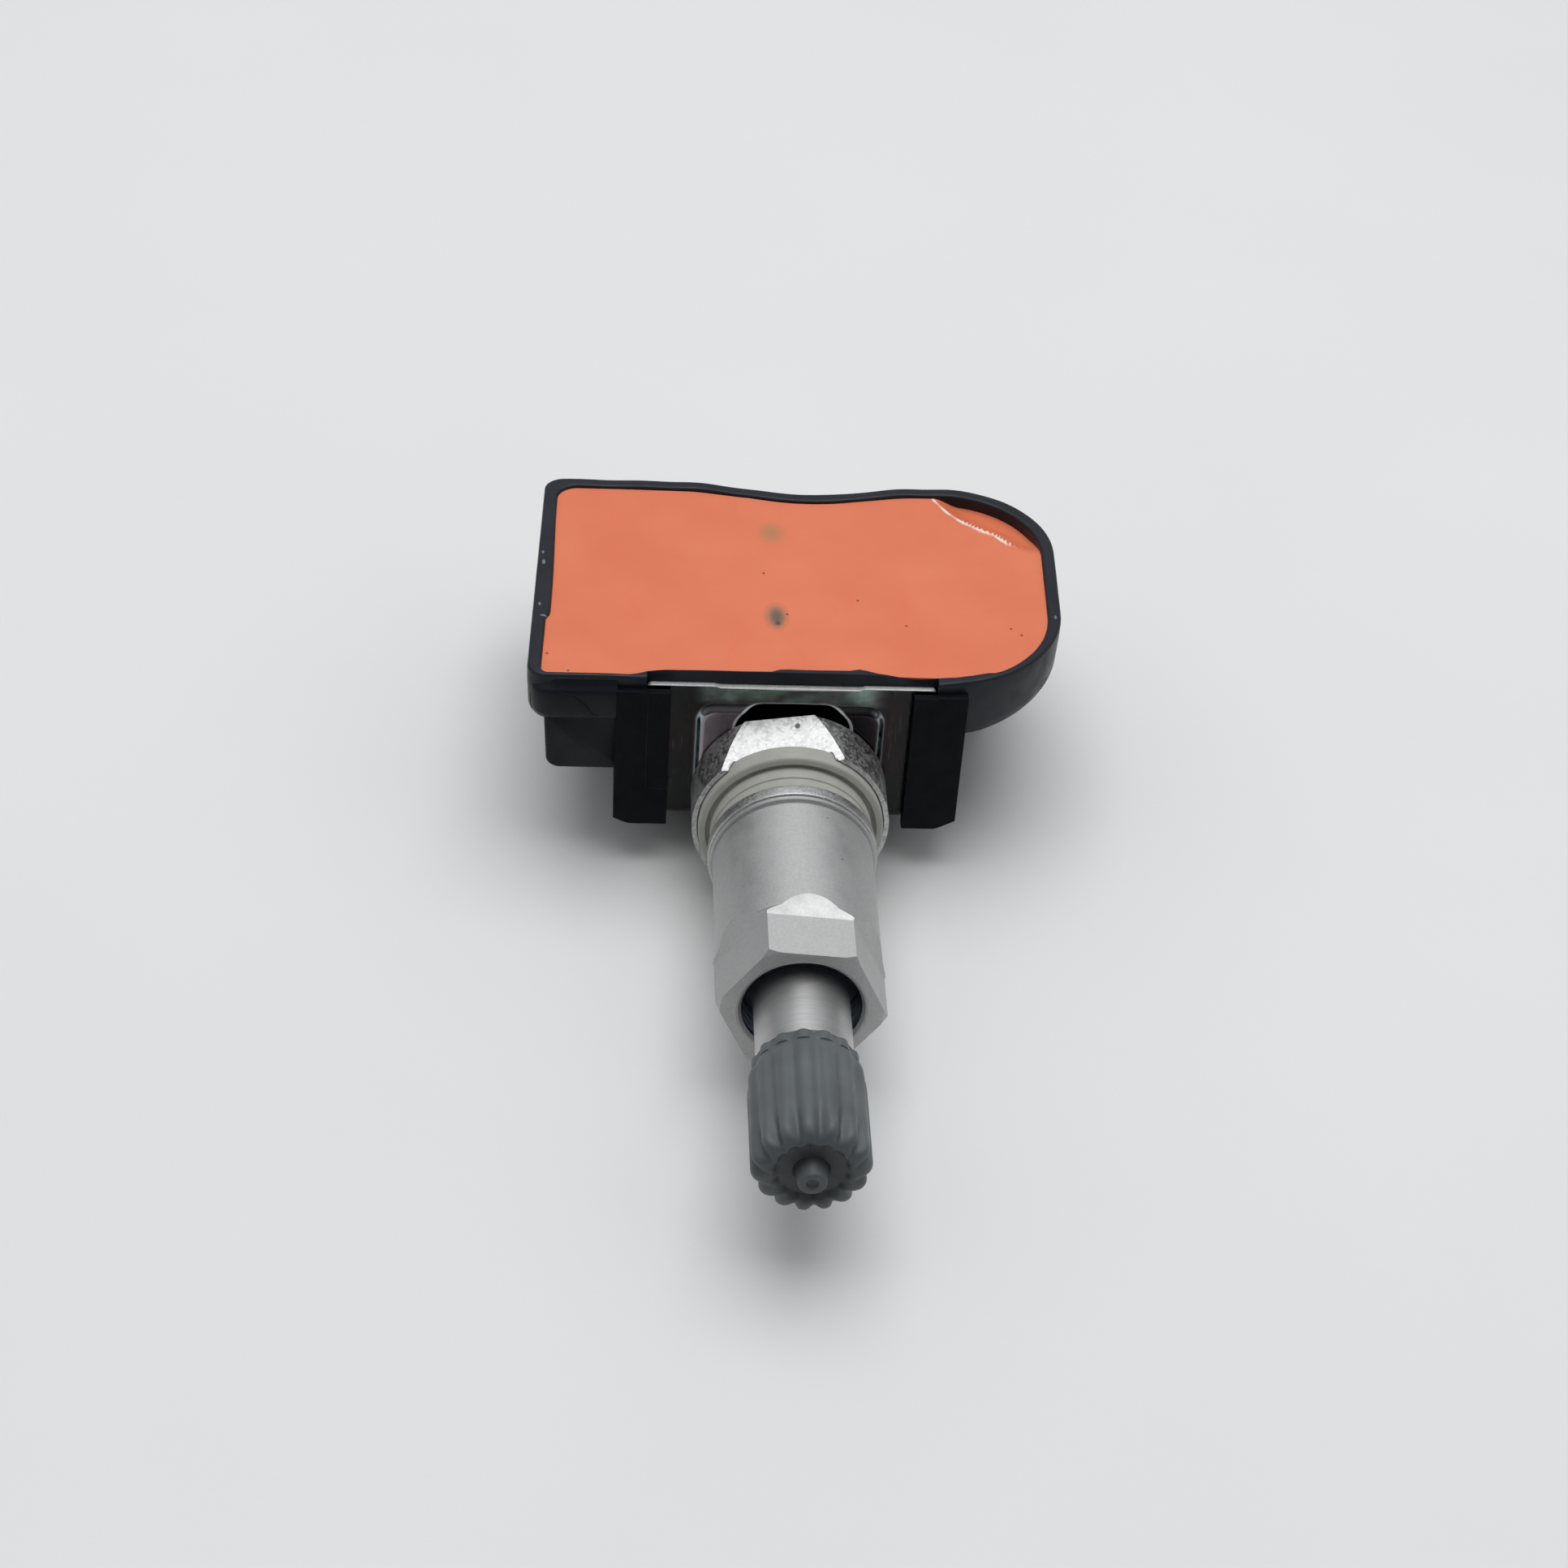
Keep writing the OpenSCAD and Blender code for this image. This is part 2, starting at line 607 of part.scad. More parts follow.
module valve_stem() color("#bfc1c2") on_valve() difference() {
    rear_d = flange_d - sheet_t + 0.1;
    screw_end_d = pad_rise - sheet_t - rear_washer_t + screw_l;
    core_end_d = core_rear_d - gasket_sink;
    thread_end_d = nut_d + 15;
    turned([
        [0, rear_d], [shank_r, rear_d], [shank_r, floor_d], [collar_r, floor_d],
        [collar_r, floor_d + collar_l], [clamp_thread_r, floor_d + collar_l],
        [clamp_thread_r, thread_end_d], [valve_r, thread_end_d + 1.6],
        [valve_r, valve_front_d - 0.4], [valve_r - 0.4, valve_front_d], [0, valve_front_d]]);
    // Threaded bore for the rear screw, the air passage, and the chamber of the valve core
    translate([0, 0, rear_d - cut]) cylinder(r = screw_r + thread_fit, h = screw_end_d - rear_d + 1 + cut);
    translate([0, 0, screw_end_d]) cylinder(r = passage_r, h = core_end_d - screw_end_d);
    chamber_l = core_cup_l + pin_travel + 1.6;
    translate([0, 0, core_end_d - chamber_l]) cylinder(r = core_r - 0.7, h = chamber_l + cut);
    translate([0, 0, core_end_d]) cylinder(r = core_r, h = valve_front_d - core_end_d + cut);
}

module grommet() color("#98999a") on_valve() {
    bore_r = clamp_thread_r + fit;
    cup_r = flange_r - 0.52;
    cove = 0.45;
    turned(concat(
        [[collar_r + seat_fit, floor_d], [cup_r, floor_d], [cup_r, seat_d - 0.2], [cup_r - 0.2, seat_d]],
        [for (a = [90:-15:0])
            [neck_r + cove - cove * sin(90 - a), seat_d + cove - cove * cos(90 - a)]],
        [[neck_r, seat_d + 1.1], [neck_r - 0.12, seat_d + 1.2], [neck_r - 0.12, neck_d],
         [bore_r, neck_d], [bore_r, floor_d + collar_l + seat_fit],
         [collar_r + seat_fit, floor_d + collar_l + seat_fit]]));
}

module clamp_washer() color("#b9babb") on_valve() {
    edge = 0.12;
    bore_r = clamp_thread_r + thread_fit + 0.03;
    turned([
        [bore_r, neck_d], [washer_r - edge, neck_d], [washer_r, neck_d + edge],
        [washer_r, nut_d - edge], [washer_r - edge, nut_d], [bore_r, nut_d]]);
}

// The hexagon's flats are milled into the sleeve, each with a sloped run-out at its rear
module sleeve_nut() color("#a9abac") on_valve() difference() {
    bore_r = clamp_thread_r + thread_fit;
    corner = hex_af / 2 / cos(30);
    hex_d = nut_front_d - hex_l;
    bead_l = 0.4;
    far = 3;
    turned([
        [bore_r, nut_d], [sleeve_r + 0.25, nut_d], [sleeve_r + 0.25, nut_d + bead_l],
        [sleeve_r - 0.12, nut_d + bead_l], [sleeve_r - 0.12, nut_d + bead_l + 0.2],
        [sleeve_r, nut_d + bead_l + 0.3], [sleeve_r, hex_d - 0.9], [corner + 0.1, hex_d - 0.3],
        [corner + 0.1, nut_front_d - 0.3], [corner - 0.35, nut_front_d],
        [bore_r + 0.3, nut_front_d], [bore_r, nut_front_d - 0.3]]);
    for (i = [0:5])
        rotate([0, 0, 60 * i - hex_turn]) translate([0, corner, 0]) rotate([90, 0, -90])
            flat_cutter(hex_d, hex_af / 2 - corner, far);
}

// Everything beyond one flat and its run-out, as a prism across the nut
module flat_cutter(hex_d, depth, far) {
    slope = runout_l / (sleeve_r - hex_af / 2);
    translate([0, 0, -hex_af]) linear_extrude(2 * hex_af) polygon([
        [-depth, hex_d], [-depth, nut_front_d + cut], [-depth - far, nut_front_d + cut],
        [-depth - far, hex_d - far * slope]]);
}

// One rib and groove: 1 on a rib's crest, 0 at the bottom of a groove
function rib_wave(a) = pow(0.5 + 0.5 * cos(cap_ribs * a), 0.7);

function cap_outline(r, depth) =
    [for (i = [0:cap_ribs * 8 - 1]) let (a = 360 * i / (cap_ribs * 8))
        (r - depth * (1 - rib_wave(a))) * [cos(a), sin(a)]];

module valve_cap() color("#585e62") on_valve() difference() {
    crown = 1.3;
    knob_r = 1.3;
    union() {
        loft(concat(
            [[cap_mouth_d, cap_outline(cap_r - 0.3, 0)],
             [cap_mouth_d + 0.7, cap_outline(cap_r - 0.2, 0)],
             [cap_mouth_d + 1.1, cap_outline(cap_r, rib_depth)]],
            [for (a = [0:18:72])
                [cap_front_d - crown + crown * sin(a), cap_outline(cap_r - crown * (1 - cos(a)), rib_depth)]],
            [[cap_front_d, cap_outline(cap_r - crown, rib_depth * 0.7)]]));
        translate([0, 0, cap_front_d - cap_recess])
            cylinder(r1 = knob_r, r2 = knob_r - 0.3, h = cap_recess + cap_knob_l);
    }
    translate([0, 0, cap_mouth_d - cut])
        cylinder(r = valve_r + thread_fit, h = cap_floor_d - cap_mouth_d + cut);
    // Recess in the end, round a small knob with a dimple
    translate([0, 0, cap_front_d - cap_recess]) difference() {
        cylinder(r = cap_r - crown - 0.5, h = cut);
        translate([0, 0, -cut]) cylinder(r = knob_r, h = 3 * cut);
    }
    translate([0, 0, cap_front_d + cap_knob_l - 0.2]) cylinder(r = 0.5, h = cut);
}

module cap_seal() color("#2c2c2d") on_valve(valve_front_d) difference() {
    cylinder(r = valve_r + thread_fit - seat_fit, h = cap_seal_t);
    translate([0, 0, -cut]) cylinder(r = core_r - 0.4, h = cap_seal_t + 2 * cut);
}

module core_body() color("#b08d3c") on_valve() difference() {
    turned([
        [0, core_rear_d], [core_neck_r, core_rear_d], [core_neck_r, shoulder_d],
        [core_r - seat_fit, shoulder_d + core_r - core_neck_r], [core_r - seat_fit, core_front_d],
        [0, core_front_d]]);
    translate([0, 0, core_rear_d - cut]) cylinder(r = pin_r + thread_fit, h = core_l + 2 * cut);
    translate([0, 0, spring_seat_d]) cylinder(r = core_r - 0.8, h = core_l);
}

module core_gasket() color("#7d2f2a") on_valve(core_rear_d + gasket_sink) difference() {
    cylinder(r = core_r - seat_fit, h = gasket_l);
    translate([0, 0, -cut]) cylinder(r = core_neck_r + seat_fit, h = gasket_l + 2 * cut);
}

// The pin, with the cup that closes the core from behind
module core_pin() color("#c8a650") on_valve() {
    proud = 0.2;
    translate([0, 0, core_rear_d - core_cup_l]) cylinder(r = core_cup_r, h = core_cup_l);
    translate([0, 0, core_rear_d - core_cup_l])
        cylinder(r = pin_r, h = core_front_d - core_rear_d + core_cup_l + proud);
    translate([0, 0, pin_head_d]) cylinder(r = pin_r + 0.7, h = pin_head_t);
}

// Points of a ring of the spring's wire, turned a about the valve at height h
function spring_ring(a, h, coil_r, wire_r) =
    [for (k = [0:7]) let (w = 45 * k)
        [(coil_r + wire_r * cos(w)) * cos(a), (coil_r + wire_r * cos(w)) * sin(a), h + wire_r * sin(w)]];

module core_spring() color("#d0d2d4") on_valve() {
    wire_r = 0.12;
    coil_r = pin_r + 0.45;
    turns = 4;
    steps = turns * 16;
    low = spring_seat_d + wire_r + seat_fit;
    high = pin_head_d - wire_r - seat_fit;
    rings = [for (i = [0:steps])
        each spring_ring(360 * turns * i / steps, low + (high - low) * i / steps, coil_r, wire_r)];
    polyhedron(
        points = rings,
        faces = concat(
            [[for (k = [0:7]) k]],
            [for (i = [0:steps - 1]) for (k = [0:7])
                let (a = i * 8 + k, b = i * 8 + (k + 1) % 8) [a, a + 8, b + 8, b]],
            [[for (k = [7:-1:0]) steps * 8 + k]]),
        convexity = 10);
}

housing();
potting();
circuit_board();
coin_cell();
battery_tab_minus();
battery_tab_plus();
pressure_chip();
port_seal();
crystal();
lf_coil_core();
lf_coil_winding();
bracket();
rear_washer();
rear_screw();
seat_flange();
valve_stem();
grommet();
clamp_washer();
sleeve_nut();
valve_cap();
cap_seal();
core_body();
core_gasket();
core_pin();
core_spring();
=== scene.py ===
"""Looks of a clamp-in tyre pressure sensor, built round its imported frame.

Lengths are in millimetres in the part's own frame, and become metres when a mesh is made. The
valve runs along -Y from the plane where its grommet seats on the rim, and +Z points out of the
potting. A station is a distance in front of that plane, so a point's y is minus its station.
"""

import logging
import math
from collections.abc import Sequence
from dataclasses import dataclass, field
from enum import Enum

import bpy
import numpy as np
from mathutils import Matrix, Vector


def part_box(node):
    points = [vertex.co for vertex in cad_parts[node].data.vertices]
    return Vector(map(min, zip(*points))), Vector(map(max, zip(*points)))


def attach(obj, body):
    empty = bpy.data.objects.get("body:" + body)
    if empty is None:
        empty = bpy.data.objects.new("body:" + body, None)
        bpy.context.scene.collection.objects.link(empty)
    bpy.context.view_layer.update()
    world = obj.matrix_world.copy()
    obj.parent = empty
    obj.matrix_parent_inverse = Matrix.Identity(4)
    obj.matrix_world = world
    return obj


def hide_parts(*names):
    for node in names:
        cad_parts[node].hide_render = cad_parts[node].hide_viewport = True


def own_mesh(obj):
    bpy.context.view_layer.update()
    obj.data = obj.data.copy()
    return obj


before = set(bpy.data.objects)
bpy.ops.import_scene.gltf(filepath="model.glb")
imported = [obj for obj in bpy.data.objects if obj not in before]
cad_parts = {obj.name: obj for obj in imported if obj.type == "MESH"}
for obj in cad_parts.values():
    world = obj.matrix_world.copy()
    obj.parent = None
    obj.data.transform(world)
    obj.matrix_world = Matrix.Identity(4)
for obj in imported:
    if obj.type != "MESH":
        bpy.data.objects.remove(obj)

Array = np.ndarray
Socket = bpy.types.NodeSocket
Thing = bpy.types.Object
Triple = tuple[float, float, float]
Colour = tuple[float, float, float, float]
Patch = tuple[Triple, Triple]

MM = 0.001
WELD = 1e-4
LOG = logging.getLogger("tyre_sensor")


# Geometry on grids


@dataclass(frozen=True)
class Box:
    """A box in the part's frame, by its lowest and its highest corner, in millimetres."""

    low: Array
    high: Array

    @classmethod
    def of(cls, node: str) -> "Box":
        """The box of a CAD node at rest."""
        low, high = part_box(node)
        return cls(np.array(low) / MM, np.array(high) / MM)

    @property
    def middle(self) -> Array:
        """The box's centre."""
        return (self.low + self.high) / 2

    @property
    def size(self) -> Array:
        """The box's lengths along X, Y and Z."""
        return self.high - self.low

    @property
    def radius(self) -> float:
        """Half the box's width: the radius of a turned piece."""
        return float(self.size[0]) / 2

    @property
    def rear(self) -> float:
        """The station of the box's rear face."""
        return -float(self.high[1])

    @property
    def front(self) -> float:
        """The station of the box's front face, which looks along the valve."""
        return -float(self.low[1])

    def grown(self, by: float) -> "Box":
        """The same box with each face moved out."""
        return Box(self.low - by, self.high + by)


def smooth_step(value: Array, start: float, end: float) -> Array:
    """A soft rise from 0 at start to 1 at end: three times the square less twice the cube."""
    t = np.clip((value - start) / (end - start), 0, 1)
    return t * t * (3 - 2 * t)


def bell(value: Array, middle: float, width: float) -> Array:
    """A soft bump of height 1: the exponential of minus the squared distance in widths."""
    return np.exp(-(((value - middle) / width) ** 2))


def round_gap(dx: Array, dz: Array, radius: float) -> Array:
    """Distance to a rounded rectangle, less than 0 inside it.

    It is the length of what lies past the corner's centre on both axes, or the larger of the
    two where that is inside, less the corner's radius.
    """
    return np.hypot(np.maximum(dx, 0), np.maximum(dz, 0)) + np.minimum(np.maximum(dx, dz), 0) - radius


def full_turn(count: int) -> Array:
    """Angles at equal steps of a full turn, in radians."""
    return np.arange(count) * 2 * math.pi / count


def rounded(corners: Sequence[Triple], arc_steps: int, side_steps: int) -> Array:
    """Points of a closed outline whose corners are arcs.

    Each corner [x, y, radius] becomes an arc that touches both of its sides, and each side is
    divided evenly, so outlines with equally many corners match point by point.

    Args:
        corners: The sharp corners, each with its radius.
        arc_steps: Steps in each arc.
        side_steps: Steps along each straight side.

    Returns:
        An array of points, count by 2.
    """
    count = len(corners)
    arcs = []
    for i in range(count):
        before, corner, after = (np.array(corners[(i + k) % count][:2], float) for k in (-1, 0, 1))
        back = (before - corner) / np.linalg.norm(before - corner)
        ahead = (after - corner) / np.linalg.norm(after - corner)
        half = math.acos(float(np.clip(back @ ahead, -1, 1))) / 2
        radius = max(corners[i][2], 1e-3)
        if half > math.radians(89.9):
            arcs.append(np.repeat(corner[None], arc_steps + 1, axis=0))
            continue
        centre = corner + (back + ahead) / np.linalg.norm(back + ahead) * radius / math.sin(half)
        start = corner + back * radius / math.tan(half) - centre
        turn = math.copysign(math.pi - 2 * half, -back[0] * ahead[1] + back[1] * ahead[0])
        angle = math.atan2(start[1], start[0]) + turn * np.linspace(0, 1, arc_steps + 1)
        arcs.append(centre + radius * np.stack([np.cos(angle), np.sin(angle)], axis=1))
    pieces = []
    for i in range(count):
        share = np.linspace(0, 1, side_steps + 1)[1:-1, None]
        here, there = arcs[i], arcs[(i + 1) % count]
        pieces += [here, here[-1] + share * (there[0] - here[-1])]
    return np.concatenate(pieces)


def along(points: Array, count: int) -> Array:
    """Divides an open path evenly, by interpolating over its running length."""
    gaps = np.linalg.norm(np.diff(points, axis=0), axis=1)
    run = np.concatenate([[0], np.cumsum(gaps)])
    at = np.linspace(0, run[-1], count)
    return np.stack([np.interp(at, run, points[:, k]) for k in range(points.shape[1])], axis=1)


def grid_quads(rows: int, cols: int, wrap_rows: bool, wrap_cols: bool) -> Array:
    """The faces between neighbours of a grid of points, numbered row by row.

    Args:
        rows: The grid's rows.
        cols: The grid's columns.
        wrap_rows: Whether the last row joins the first.
        wrap_cols: Whether the last column joins the first.

    Returns:
        Point numbers, count by 4.
    """
    steps = np.arange(rows - (not wrap_rows)), np.arange(cols - (not wrap_cols))
    i, j = np.meshgrid(*steps, indexing="ij")
    down, right = (i + 1) % rows, (j + 1) % cols
    corners = [i * cols + j, i * cols + right, down * cols + right, down * cols + j]
    return np.stack(corners, axis=-1).reshape(-1, 4)


def end_caps(rows: int, cols: int) -> list[Array]:
    """The flat faces over the first and the last row of a grid."""
    return [np.arange(cols)[::-1], np.arange(cols) + (rows - 1) * cols]


def enclosed(points: Array, quads: Array, caps: Sequence[Array]) -> float:
    """Six times the volume inside a closed surface: the sum of its triangles' triple products."""
    fans = [quads[:, [0, 1, 2]], quads[:, [0, 2, 3]]]
    fans += [np.stack([np.full(len(c) - 2, c[0]), c[1:-1], c[2:]], axis=1) for c in caps]
    a, b, c = points[np.concatenate(fans)].transpose(1, 0, 2)
    return float(np.einsum("ij,ij->i", a, np.cross(b, c)).sum())


def linked(name: str, data: bpy.types.ID) -> Thing:
    """A new object of a mesh, lamp or camera, linked to the scene."""
    thing = bpy.data.objects.new(name, data)
    bpy.context.scene.collection.objects.link(thing)
    return thing


def put_mesh(name: str, points: Array, quads: Array, caps: Sequence[Array] = (),
             marks: Array | None = None, crease: float = 30) -> Thing:
    """Makes a mesh object from whole arrays, with its faces outwards and its poles closed.

    Equal points are merged, a face that loses a corner becomes a triangle, and all the faces
    are turned round if they enclose a negative volume.

    Args:
        name: The object's name.
        points: Points in millimetres, count by 3.
        quads: Point numbers, count by 4.
        caps: Further faces, each an array of point numbers in order.
        marks: The material slot of each quad.
        crease: The angle in degrees above which an edge shades sharp.

    Returns:
        The new object, at the origin, with its place in its mesh.
    """
    if enclosed(points, quads, caps) < 0:
        quads = quads[:, ::-1]
        caps = [c[::-1] for c in caps]
    keys = np.round(points / WELD).astype(np.int64)
    _, first, inverse = np.unique(keys, axis=0, return_index=True, return_inverse=True)
    inverse = inverse.reshape(-1)
    faces = inverse[quads]
    own = faces != np.roll(faces, -1, axis=1)
    real = (own.sum(1) >= 3) & (faces[:, 0] != faces[:, 2]) & (faces[:, 1] != faces[:, 3])
    faces, own = faces[real], own[real]
    loops = np.concatenate([faces[own], *[inverse[c] for c in caps]]).astype(np.int32)
    totals = np.concatenate([own.sum(1), [len(c) for c in caps]]).astype(np.int64)
    starts = np.concatenate([[0], np.cumsum(totals)[:-1]]).astype(np.int32)
    mesh = bpy.data.meshes.new(name)
    mesh.vertices.add(len(first))
    mesh.vertices.foreach_set("co", (points[first] * MM).astype(np.float32).ravel())
    mesh.loops.add(len(loops))
    mesh.loops.foreach_set("vertex_index", loops)
    mesh.polygons.add(len(totals))
    mesh.polygons.foreach_set("loop_start", starts)
    if marks is not None:
        slots = np.concatenate([marks[real], np.zeros(len(caps), int)]).astype(np.int32)
        mesh.polygons.foreach_set("material_index", slots)
    mesh.update(calc_edges=True)
    mesh.validate()
    mesh.shade_smooth()
    mesh.set_sharp_from_angle(angle=math.radians(crease))
    return linked(name, mesh)


def places(thing: Thing) -> Array:
    """A mesh's points in millimetres, count by 3."""
    flat = np.empty(len(thing.data.vertices) * 3, np.float32)
    thing.data.vertices.foreach_get("co", flat)
    return flat.reshape(-1, 3) / MM


def keep(thing: Thing, name: str, values: Array) -> None:
    """Keeps a value at each of a mesh's points, for its material."""
    mark = thing.data.attributes.new(name, "FLOAT", "POINT")
    mark.data.foreach_set("value", values.astype(np.float32))


def loft(name: str, sections: Sequence[Array], crease: float = 30) -> Thing:
    """A closed solid through outlines of equally many points, with a flat face at each end."""
    points = np.stack(sections)
    rows, cols = points.shape[:2]
    quads = grid_quads(rows, cols, False, True)
    return put_mesh(name, points.reshape(-1, 3), quads, end_caps(rows, cols), crease=crease)


def lifted(outline: Array, height: float) -> Array:
    """An outline in plan, set at a height."""
    return np.column_stack([outline, np.full(len(outline), height)])


def brick(name: str, box: Box) -> Thing:
    """A plain box, as a cutter for a recess."""
    (x0, y0, z0), (x1, y1, z1) = box.low, box.high
    plan = np.array([[x0, y0], [x1, y0], [x1, y1], [x0, y1]])
    return loft(name, [lifted(plan, z0), lifted(plan, z1)])


def drum(name: str, middle: Array, radius: float, low: float, high: float, steps: int = 96) -> Thing:
    """An upright cylinder, as a cutter for a well: a circle at two heights."""
    angle = full_turn(steps)
    plan = middle[:2] + radius * np.stack([np.cos(angle), np.sin(angle)], axis=1)
    return loft(name, [lifted(plan, low), lifted(plan, high)])


def settle(thing: Thing) -> None:
    """Applies an object's modifiers to its mesh."""
    bpy.context.view_layer.update()
    done = bpy.data.meshes.new_from_object(thing.evaluated_get(bpy.context.evaluated_depsgraph_get()))
    thing.modifiers.clear()
    old = thing.data
    thing.data = done
    bpy.data.meshes.remove(old)


def carve(thing: Thing, cutters: Sequence[Thing], crease: float = 30) -> None:
    """Cuts other solids out of a solid, and deletes them.

    Args:
        thing: The solid.
        cutters: What is cut out of it.
        crease: The angle in degrees above which an edge shades sharp.
    """
    for cutter in cutters:
        step = thing.modifiers.new("Cut", "BOOLEAN")
        step.operation = "DIFFERENCE"
        step.solver = "EXACT"
        step.object = cutter
    settle(thing)
    for cutter in cutters:
        bpy.data.meshes.remove(cutter.data)
    thing.data.shade_smooth()
    thing.data.set_sharp_from_angle(angle=math.radians(crease))


def soften(thing: Thing, width: float, segments: int = 2, angle: float = 30) -> None:
    """Rounds an object's sharp edges with a Bevel modifier.

    Args:
        thing: The object.
        width: How much of each face the rounding takes.
        segments: Its steps.
        angle: The angle in degrees above which an edge is rounded.
    """
    bevel = thing.modifiers.new("Worn edges", "BEVEL")
    bevel.width = width * MM
    bevel.segments = segments
    bevel.limit_method = "ANGLE"
    bevel.angle_limit = math.radians(angle)
    bevel.harden_normals = True
    bevel.use_clamp_overlap = True


def turned(name: str, radius: Array, station: Array, angle: Array, crease: float = 25,
           marks: Array | None = None) -> Thing:
    """A surface turned about the valve's axis.

    A point at an angle, a radius and a station lies at radius times the angle's cosine along X,
    minus its station along Y and radius times the sine along Z.

    Args:
        name: The object's name.
        radius: Radii, angles by profile points.
        station: Stations, the same shape.
        angle: The angle of each row, in radians.
        crease: The angle in degrees above which an edge shades sharp.
        marks: The material slot of each step of the profile.

    Returns:
        The new object.
    """
    rows, cols = radius.shape
    turn = angle[:, None]
    points = np.stack([radius * np.cos(turn), -station, radius * np.sin(turn)], axis=-1)
    closed = bool(np.any(radius[:, 0] > WELD))
    quads = grid_quads(rows, cols, True, closed)
    slots = None if marks is None else np.tile(marks[: quads.shape[0] // rows], rows)
    return put_mesh(name, points.reshape(-1, 3), quads, marks=slots, crease=crease)


def ring(name: str, corners: Sequence[Triple], steps: int = 240, crease: float = 25) -> Thing:
    """A ring turned from a closed profile of corners, each [radius, station, fillet]."""
    profile = rounded(corners, 4, 3)
    shape = (steps, len(profile))
    radius, station = (np.broadcast_to(profile[:, k], shape) for k in (0, 1))
    return turned(name, radius, station, full_turn(steps), crease)


# Finishes


def linear(red: float, green: float, blue: float) -> Colour:
    """A screen colour, with channels from 0 to 255, as linear light by the sRGB curve."""
    share = np.array([red, green, blue]) / 255
    light = np.where(share <= 0.04045, share / 12.92, ((share + 0.055) / 1.055) ** 2.4)
    return (float(light[0]), float(light[1]), float(light[2]), 1.0)


def grey(level: float) -> Colour:
    """A neutral linear colour."""
    return (level, level, level, 1.0)


def toned(colour: Colour, by: float) -> Colour:
    """A colour made darker or lighter by a factor."""
    return tuple(c * by for c in colour[:3]) + (1.0,)


def set_ramp(node: bpy.types.ShaderNode, stops: Sequence[tuple[float, Colour]]) -> None:
    """Gives a colour ramp its colours.

    Args:
        node: The ramp's node.
        stops: The colours, each with its place from 0 to 1.
    """
    elements = node.color_ramp.elements
    elements[0].position, elements[0].color = stops[0]
    elements[1].position, elements[1].color = stops[-1]
    for place, colour in stops[1:-1]:
        elements.new(place).color = colour


